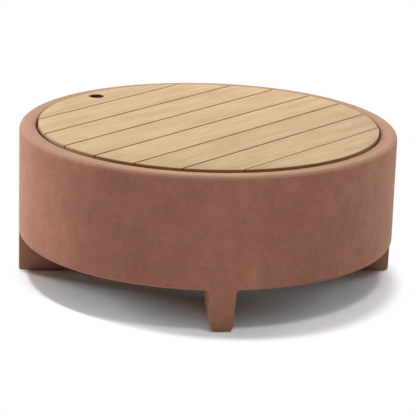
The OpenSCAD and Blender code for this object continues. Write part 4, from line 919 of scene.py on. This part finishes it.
def rock_tree():
    """Cuts faces finer, rounds each lump and breaks it inwards: big dents, chips, then crumbs."""
    tree, given = new_tree("broken_stone", Mesh=(MESH, None), Cuts=(COUNT, 1), Round=(FLOAT, 0.6),
                           Dent=(FLOAT, 0.030), Chip=(FLOAT, 0.011), Crumb=(FLOAT, 0.004))
    finer = add(tree, "GeometryNodeSubdivideMesh",
                {"Mesh": given.outputs["Mesh"], "Level": given.outputs["Cuts"]})
    centre = add(tree, "GeometryNodeInputNamedAttribute", {"Name": "centre"}, data_type="FLOAT_VECTOR")
    reach = add(tree, "GeometryNodeInputNamedAttribute", {"Name": "reach"}, data_type="FLOAT")
    at = add(tree, "GeometryNodeInputPosition")
    spoke = add(tree, "ShaderNodeVectorMath", (at, centre), operation="SUBTRACT")
    length = add(tree, "ShaderNodeVectorMath", (spoke,), operation="LENGTH").outputs["Value"]
    short = add(tree, "ShaderNodeMath", (reach, length), operation="SUBTRACT")
    out = add(tree, "ShaderNodeMath", (short, given.outputs["Round"], length), operation="MULTIPLY_ADD")
    # Noises with lumps about 29, 11 and 4 mm across cut in wherever they rise past 0.42
    for scale, label in ((34.0, "Dent"), (95.0, "Chip"), (260.0, "Crumb")):
        lumps = add(tree, "ShaderNodeTexNoise", {"Scale": scale, "Detail": 1.0})
        above = add(tree, "ShaderNodeMath", (lumps, 0.42), operation="SUBTRACT")
        above = add(tree, "ShaderNodeMath", (above, 0.0), operation="MAXIMUM")
        sunk = add(tree, "ShaderNodeMath", (above, given.outputs[label]), operation="MULTIPLY")
        out = add(tree, "ShaderNodeMath", (out, sunk), operation="SUBTRACT")
    spoke = add(tree, "ShaderNodeVectorMath", (spoke,), operation="NORMALIZE")
    spoke = add(tree, "ShaderNodeVectorMath", {0: spoke, "Scale": out}, operation="SCALE")
    spot = add(tree, "ShaderNodeVectorMath", (centre, spoke), operation="ADD")
    end_tree(tree, add(tree, "GeometryNodeSetPosition", {"Geometry": finer, "Position": spot}), lava)
    return tree


stone = rock_tree()
print("tree", stone.name, "with", len(stone.nodes), "nodes")

# %% The bed of lumps


def lumps_with_centres(node):
    """A CAD node's mesh with its triangles joined, and each lump's centre and reach on its vertices."""
    bm = bmesh.new()
    bm.from_mesh(nodes[node].data)
    bmesh.ops.remove_doubles(bm, verts=bm.verts, dist=1e-5)
    bm.verts.index_update()
    centres, reaches, waiting = {}, {}, set(bm.verts)
    while waiting:
        lump, edge = [], [waiting.pop()]
        while edge:
            vert = edge.pop()
            lump.append(vert)
            near = {e.other_vert(vert) for e in vert.link_edges} & waiting
            waiting -= near
            edge.extend(near)
        # A set has no fixed order, and sums in another order differ in their last digit
        lump.sort(key=lambda vert: vert.index)
        centre = sum((v.co for v in lump), Vector()) / len(lump)
        reach = sum((v.co - centre).length for v in lump) / len(lump)
        for vert in lump:
            centres[vert.index], reaches[vert.index] = centre, reach
    order = range(len(bm.verts))
    mesh = bpy.data.meshes.new(node + "_copy")
    bm.to_mesh(mesh)
    bm.free()
    flat = [c for k in order for c in centres[k]]
    mesh.attributes.new("centre", "FLOAT_VECTOR", "POINT").data.foreach_set("vector", flat)
    mesh.attributes.new("reach", "FLOAT", "POINT").data.foreach_set("value", [reaches[k] for k in order])
    return mesh


rock_mesh = lumps_with_centres("lava_rocks")
# Each cut makes four triangles of one, and a third cut is made only while the piece stays under 195,000
rock_cuts = 3 if len(rock_mesh.polygons) * 4**3 < 195000 else 2
rocks = apply_modifiers(run_tree(stone, "lava_rock_bed", rock_mesh, Cuts=rock_cuts))
smooth(rocks, 34)
finish_piece(rocks, "lava_rocks")
print("rocks:", len(rocks.data.polygons), "faces after", rock_cuts, "cuts")

# %% [markdown]
# A gas hose, a spark lead and a thermocouple lead are all one thing to a modeller: a round section that
# follows a line. One tree sweeps a circle along the line and stores, at every point, how far along the
# line it is and where round the section. The braid of the hose reads both: two sets of eight strands
# wind round in opposite directions and pass over and under each other.

# %% A tube along a line


def bezier(points, steps):
    """Points on a cubic curve through four control points."""
    a, b, c, d = (Vector(p) for p in points)
    out = []
    for k in range(steps + 1):
        t = k / steps
        out.append(a * (1 - t) ** 3 + b * 3 * t * (1 - t) ** 2 + c * 3 * t * t * (1 - t) + d * t**3)
    return out


def swept_tube_tree():
    """A circle swept along a line of edges, with the length and the direction round it stored."""
    tree, given = new_tree("swept_tube", Line=(MESH, None), Radius=(FLOAT, 0.006), Sides=(COUNT, 24),
                           Material=("NodeSocketMaterial", None))
    line = add(tree, "GeometryNodeMeshToCurve", {"Mesh": given.outputs["Line"]})
    length = add(tree, "GeometryNodeSplineParameter").outputs["Length"]
    line = add(tree, "GeometryNodeStoreNamedAttribute", {"Geometry": line, "Name": "along", "Value": length})
    circle = add(tree, "GeometryNodeCurvePrimitiveCircle",
                 {"Resolution": given.outputs["Sides"], "Radius": given.outputs["Radius"]})
    spoke = add(tree, "ShaderNodeVectorMath", (add(tree, "GeometryNodeInputPosition"),), operation="NORMALIZE")
    circle = add(tree, "GeometryNodeStoreNamedAttribute", {"Geometry": circle, "Name": "spoke", "Value": spoke},
                 data_type="FLOAT_VECTOR")
    tube = add(tree, "GeometryNodeCurveToMesh", {"Curve": line, "Profile Curve": circle, "Fill Caps": True})
    end_tree(tree, tube, given.outputs["Material"])
    return tree


tube_tree = swept_tube_tree()
print("tree", tube_tree.name, "with", len(tube_tree.nodes), "nodes")

# %% Wire braid


def braided_stainless():
    """Stainless wire braid over a rubber hose: 0.3 mm wires in bundles, bright on top, with painted shade between
    them.
    """
    strand_count, lay_mm = 8, 4.5
    material, tree, shader = new_material("braided_stainless")
    spoke = add(tree, "ShaderNodeAttribute", attribute_name="spoke").outputs["Vector"]
    spoke = add(tree, "ShaderNodeSeparateXYZ", (spoke,))
    angle = add(tree, "ShaderNodeMath", (spoke.outputs["Y"], spoke.outputs["X"]), operation="ARCTAN2")
    along = add(tree, "ShaderNodeAttribute", attribute_name="along").outputs["Fac"]
    run = add(tree, "ShaderNodeMath", (along, 2 * math.pi / (lay_mm * MM)), operation="MULTIPLY")
    strands = add(tree, "ShaderNodeMath", (angle, strand_count), operation="MULTIPLY")
    wound = [add(tree, "ShaderNodeMath", (strands, run), operation=way) for way in ("ADD", "SUBTRACT")]
    left, right = [add(tree, "ShaderNodeMath", (turned,), operation="SINE") for turned in wound]
    top = add(tree, "ShaderNodeMath", (left, right), operation="MAXIMUM")
    height = add(tree, "ShaderNodeMapRange", (top, -0.4, 1.0))
    # Painted shade: the ramp darkens the low places between the strands
    fill(tree, shader, {
        "Base Color": add(tree, "ShaderNodeValToRGB", {"Fac": height},
                          stops=((0.0, "#3C3D3F"), (0.45, "#8E9092"), (1.0, "#B7B9BB"))),
        "Metallic": 1.0,
        "Roughness": add(tree, "ShaderNodeMapRange", (height, 0.0, 1.0, 0.55, 0.28)),
        "Normal": add(tree, "ShaderNodeBump", {"Height": height, "Distance": 0.5 * MM, "Strength": 0.8}),
    })
    return material


braid = braided_stainless()
print("material", braid.name, len(braid.node_tree.nodes), "nodes")

# %% The hose and the two leads


def tube(name, node, route_mm, diameter_mm, material, sides=24):
    """Sweeps a round piece along a route in millimetres and puts it in place of a CAD node."""
    line = bpy.data.meshes.new(name + "_line")
    line.from_pydata([p * MM for p in route_mm], [(k, k + 1) for k in range(len(route_mm) - 1)], [])
    obj = run_tree(tube_tree, name, line, Radius=diameter_mm * MM / 2, Sides=sides, Material=material)
    apply_modifiers(obj)
    smooth(obj, 60)
    return finish_piece(obj, node)


hose_from, hose_to = Vector((0, 37, 208.2)), Vector((-42, 437.489, 215))
hose_route = bezier((hose_from, hose_from + Vector((0, 150, 0)), hose_to - Vector((0, 130, 0)), hose_to), 60)
tube("braided_hose", "burner_hose", hose_route, 12, braid, 32)


def pilot_lead(start, end):
    """The route of a lead: down from the pilot, then level into the control."""
    start, end = Vector(start), Vector(end)
    return bezier((start, start - Vector((0, 0, 70)), end - Vector((0, 90, 0)), end), 48)


couple_route = pilot_lead((-14, 264, 303.2), (-42, 423.489, 239))
spark_route = pilot_lead((14, 264, 303.2), (42, 441.489, 226))
tube("thermocouple_tail", "thermocouple_lead", couple_route, 3, copper_tube, 16)
tube("spark_cable", "spark_lead", spark_route, 5, red_silicone, 20)
for label, route in (("hose", hose_route), ("thermocouple lead", couple_route), ("spark lead", spark_route)):
    print(label, round(sum((b - a).length for a, b in zip(route, route[1:]))), "mm long")

# %% [markdown]
# The igniter's return spring is a coil: a line that winds round the button's axis, swept by the same
# tree. The real spring shortens when the button goes in; this mesh is built at one length.

# %% Button spring
igniter_x, knob_x = 42.0, -42.0
spring_from, spring_to, spring_r, wire_d, turns = 467.8, 477.7, 5.25, 1.2, 4.0
coil = []
for k in range(int(turns * 24) + 1):
    a = 2 * math.pi * k / 24
    y = spring_from + wire_d / 2 + (spring_to - spring_from - wire_d) * k / (turns * 24)
    coil.append(Vector((igniter_x + spring_r * math.cos(a), y, control_z + spring_r * math.sin(a))))
spring = tube("igniter_spring", "button_spring", coil, wire_d, stainless_fasteners, 10)
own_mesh(spring)
print("spring:", turns, "turns")

# %% [markdown]
# The knob is moulded: a fluted skirt that fingers grip, a soft top edge and a raised bar with a white
# pointer. A lathe gives the skirt, and the radius is waved so that 30 flutes come out of the same mesh.
# The bar is its own rounded block, joined by a boolean, so that it grows out of the skirt.

# %% Control knob
knob_back, knob_front = (corner.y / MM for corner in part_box("control_knob"))


def fluted_knob():
    """The knob's skirt: a turned profile round the Y axis, with flutes on its outside."""
    back, front = knob_back, knob_back + 18
    profile = [(0, back + 15.1), (3.1, back + 15.1), (3.1, back + 8), (14.6, back + 8), (15, back + 7.6),
               (15, back + 0.5), (15.5, back), (21.2, back), (22, back + 0.8), (22, back + 2.4),
               (22, back + 3), (22, front - 3.4), (21.9, front - 2.2), (21.2, front - 1),
               (20, front - 0.3), (18.6, front), (0, front)]
    flutes, flute_depth, count = 30, 0.9, 180
    bm = bmesh.new()
    rows = []
    for radius, y in profile:
        points = []
        for k in range(count):
            a = 2 * math.pi * k / count
            r = radius
            if radius > 21 and back + 2.5 < y < front - 0.9:
                r -= flute_depth / 2 * (1 - math.cos(flutes * a))
            points.append((knob_x + r * math.cos(a), y, control_z + r * math.sin(a)))
        rows.append(ring(bm, points))
    for low, high in zip(rows, rows[1:]):
        band(bm, low, high)
    return new_piece("fluted_knob", bm, black_phenolic, 40)


def soft_block(name, width, y_low, y_high, z_low, z_high, edge, material):
    """A block in millimetres with rounded edges, centred on the knob's axis across its width."""
    low, high = (knob_x - width / 2, y_low, control_z + z_low), (knob_x + width / 2, y_high, control_z + z_high)
    bm = bmesh.new()
    bmesh.ops.create_cube(bm, size=1)
    for v in bm.verts:
        v.co = Vector([(a + b) / 2 + c * (b - a) for a, b, c in zip(low, high, v.co)])
    bmesh.ops.bevel(bm, geom=bm.edges[:], offset=edge, segments=3, profile=0.5, affect="EDGES")
    return new_piece(name, bm, material, 40)


knob = fluted_knob()
cut(knob, soft_block("bar", 12, knob_front - 8, knob_front, -19, 19, 1.6, black_phenolic), operation="UNION")
smooth(knob, 35)
finish_piece(knob, "control_knob")
pointer = soft_block("pointer_line", 1.8, knob_front - 0.3, knob_front + 0.05, 5, 18, 0.1, white_ink)
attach(pointer, "knob")
print("knob:", len(knob.data.polygons), "faces")

# %% [markdown]
# The steel scale behind the knob carries a printed row of ticks that grow from low to high flame, round
# the 210 degrees that the knob turns. Ticks on an arc repeat, so a tree instances one small bar round
# the knob and makes each a little longer than the one before.

# %% Scale ticks


def tick_tree():
    """Bars on an arc about the Y axis, each longer than the last."""
    tree, given = new_tree("growing_ticks", Count=(COUNT, 15), Radius=(FLOAT, 0.0245), Sweep=(FLOAT, 3.6),
                           Short=(FLOAT, 0.0012), Long=(FLOAT, 0.0036))
    count, radius, sweep, shortest, longest = list(given.outputs)[:5]
    points = add(tree, "GeometryNodePoints", {"Count": count})
    last = add(tree, "ShaderNodeMath", (count, 1.0), operation="SUBTRACT")
    share = add(tree, "ShaderNodeMath", (add(tree, "GeometryNodeInputIndex"), last), operation="DIVIDE")
    angle = add(tree, "ShaderNodeMath", (share, sweep), operation="MULTIPLY")
    length = add(tree, "ShaderNodeMapRange", {"Value": share, "To Min": shortest, "To Max": longest})
    sine, cosine = [add(tree, "ShaderNodeMath", (angle,), operation=wave) for wave in ("SINE", "COSINE")]
    x, z = [add(tree, "ShaderNodeMath", (wave, radius), operation="MULTIPLY") for wave in (sine, cosine)]
    spot = add(tree, "ShaderNodeCombineXYZ", {"X": x, "Z": z})
    points = add(tree, "GeometryNodeSetPosition", {"Geometry": points, "Position": spot})
    bar = add(tree, "GeometryNodeMeshCube", {"Size": (0.0008, 0.00012, 1.0)})
    lean = add(tree, "ShaderNodeCombineXYZ", {"Y": angle})
    size = add(tree, "ShaderNodeCombineXYZ", (1.0, 1.0, length))
    bars = add(tree, "GeometryNodeInstanceOnPoints",
               {"Points": points, "Instance": bar, "Rotation": lean, "Scale": size})
    end_tree(tree, bars, black_ink)
    return tree


ticks = apply_modifiers(run_tree(tick_tree(), "scale_ticks", Sweep=math.radians(210)))
# Ink stands a twentieth of a millimetre proud, so that it never shares a plane with the steel
ticks.data.transform(Matrix.Translation((knob_x * MM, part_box("knob_bezel")[1].y + 0.05 * MM, control_z * MM)))
smooth(ticks, 30)
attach(ticks, "table")
print("ticks:", len(ticks.data.polygons) // 6)

# %% [markdown]
# The floor is a wide white plane that isn't part of the object. The photograph's shadow hardly leaves the
# drum's own footprint, so one lamp stands almost straight above, a little behind and to the left, and
# another high in front, on the right. A lamp behind each side draws the light edges down the wall, a
# lamp at the back lights the lid, and a weak one fills the front. Together they light a level face at a
# plain strength, at which a colour renders about as it is written. Past an oval about as large as the
# footprint, the camera sees the floor as plain white. Inside it the floor is a trace cooler, since the
# photograph's shadow is a plain grey, not warmed by the drum.

# %% Floor
bpy.ops.mesh.primitive_plane_add(size=40)
floor = bpy.context.object
floor.name = "floor"
floor_material, floor_tree, floor_shader = new_material("white_floor")
fill(floor_tree, floor_shader, {"Roughness": 1.0, "Specular IOR Level": 0.0})


def shows_background(tree):
    """1 for a ray from the camera, also by way of metal or glass, and 0 for one that only lights."""
    path = add(tree, "ShaderNodeLightPath")
    direct = add(tree, "ShaderNodeMath", (path.outputs["Is Camera Ray"], path.outputs["Is Glossy Ray"]),
                 operation="MAXIMUM")
    return add(tree, "ShaderNodeMath", (direct, path.outputs["Is Transmission Ray"]), operation="MAXIMUM")


where = add(floor_tree, "ShaderNodeTexCoord").outputs["Object"]
oval = add(floor_tree, "ShaderNodeVectorMath", (where, (1.06, 1.0, 1.0), (-0.01, 0.04, 0)),
           operation="MULTIPLY_ADD")
radius = add(floor_tree, "ShaderNodeVectorMath", (oval,), operation="LENGTH").outputs["Value"]
cool = add(floor_tree, "ShaderNodeValToRGB", {"Fac": radius}, stops=((0.45, "#E2F3F7"), (0.56, "#FFFFFF")))
fill(floor_tree, floor_shader, {"Base Color": cool})
far = add(floor_tree, "ShaderNodeMapRange", (radius, 0.55, 0.62), interpolation_type="SMOOTHSTEP")
past = add(floor_tree, "ShaderNodeMath", (far, shows_background(floor_tree)), operation="MULTIPLY")
white = add(floor_tree, "ShaderNodeEmission", {"Color": (1, 1, 1, 1), "Strength": 1.0})
mixed = add(floor_tree, "ShaderNodeMixShader", (past, floor_shader, white))
fill(floor_tree, floor_tree.nodes["Material Output"], {"Surface": mixed})
floor.data.materials.append(floor_material)
print("floor", floor.dimensions.x, "m wide")

# %% Lamps and world


def sun_lamp(name, from_direction, power, softness):
    """A distant lamp that shines from a direction; softness is the angle it fills, in degrees."""
    data = bpy.data.lights.new(name, "SUN")
    data.energy = power
    data.angle = math.radians(softness)
    obj = bpy.data.objects.new(name, data)
    obj.matrix_world = Vector(from_direction).to_track_quat("Z", "Y").to_matrix().to_4x4()
    bpy.context.scene.collection.objects.link(obj)


sun_lamp("lamp_above", (-0.18, 0.14, 1.0), 1.3, 6)
sun_lamp("lamp_front_right", (0.18, -0.24, 1.0), 0.80, 12)
sun_lamp("lamp_front", (0.0, -1.0, 1.1), 0.40, 40)
sun_lamp("lamp_back", (0.0, 1.0, 0.8), 0.25, 40)
sun_lamp("lamp_left", (-1.0, 0.76, 0.26), 3.8, 22)
sun_lamp("lamp_right", (1.0, 0.7, 0.32), 1.45, 25)

world = bpy.data.worlds.new("studio")
world.use_nodes = True
world_tree = world.node_tree
bpy.context.scene.world = world
# A weak even light, and plain white wherever the background shows
strength = add(world_tree, "ShaderNodeMapRange", (shows_background(world_tree), 0.0, 1.0, 0.12, 1.0))
fill(world_tree, world_tree.nodes["Background"], {"Color": (1, 1, 1, 1), "Strength": strength})
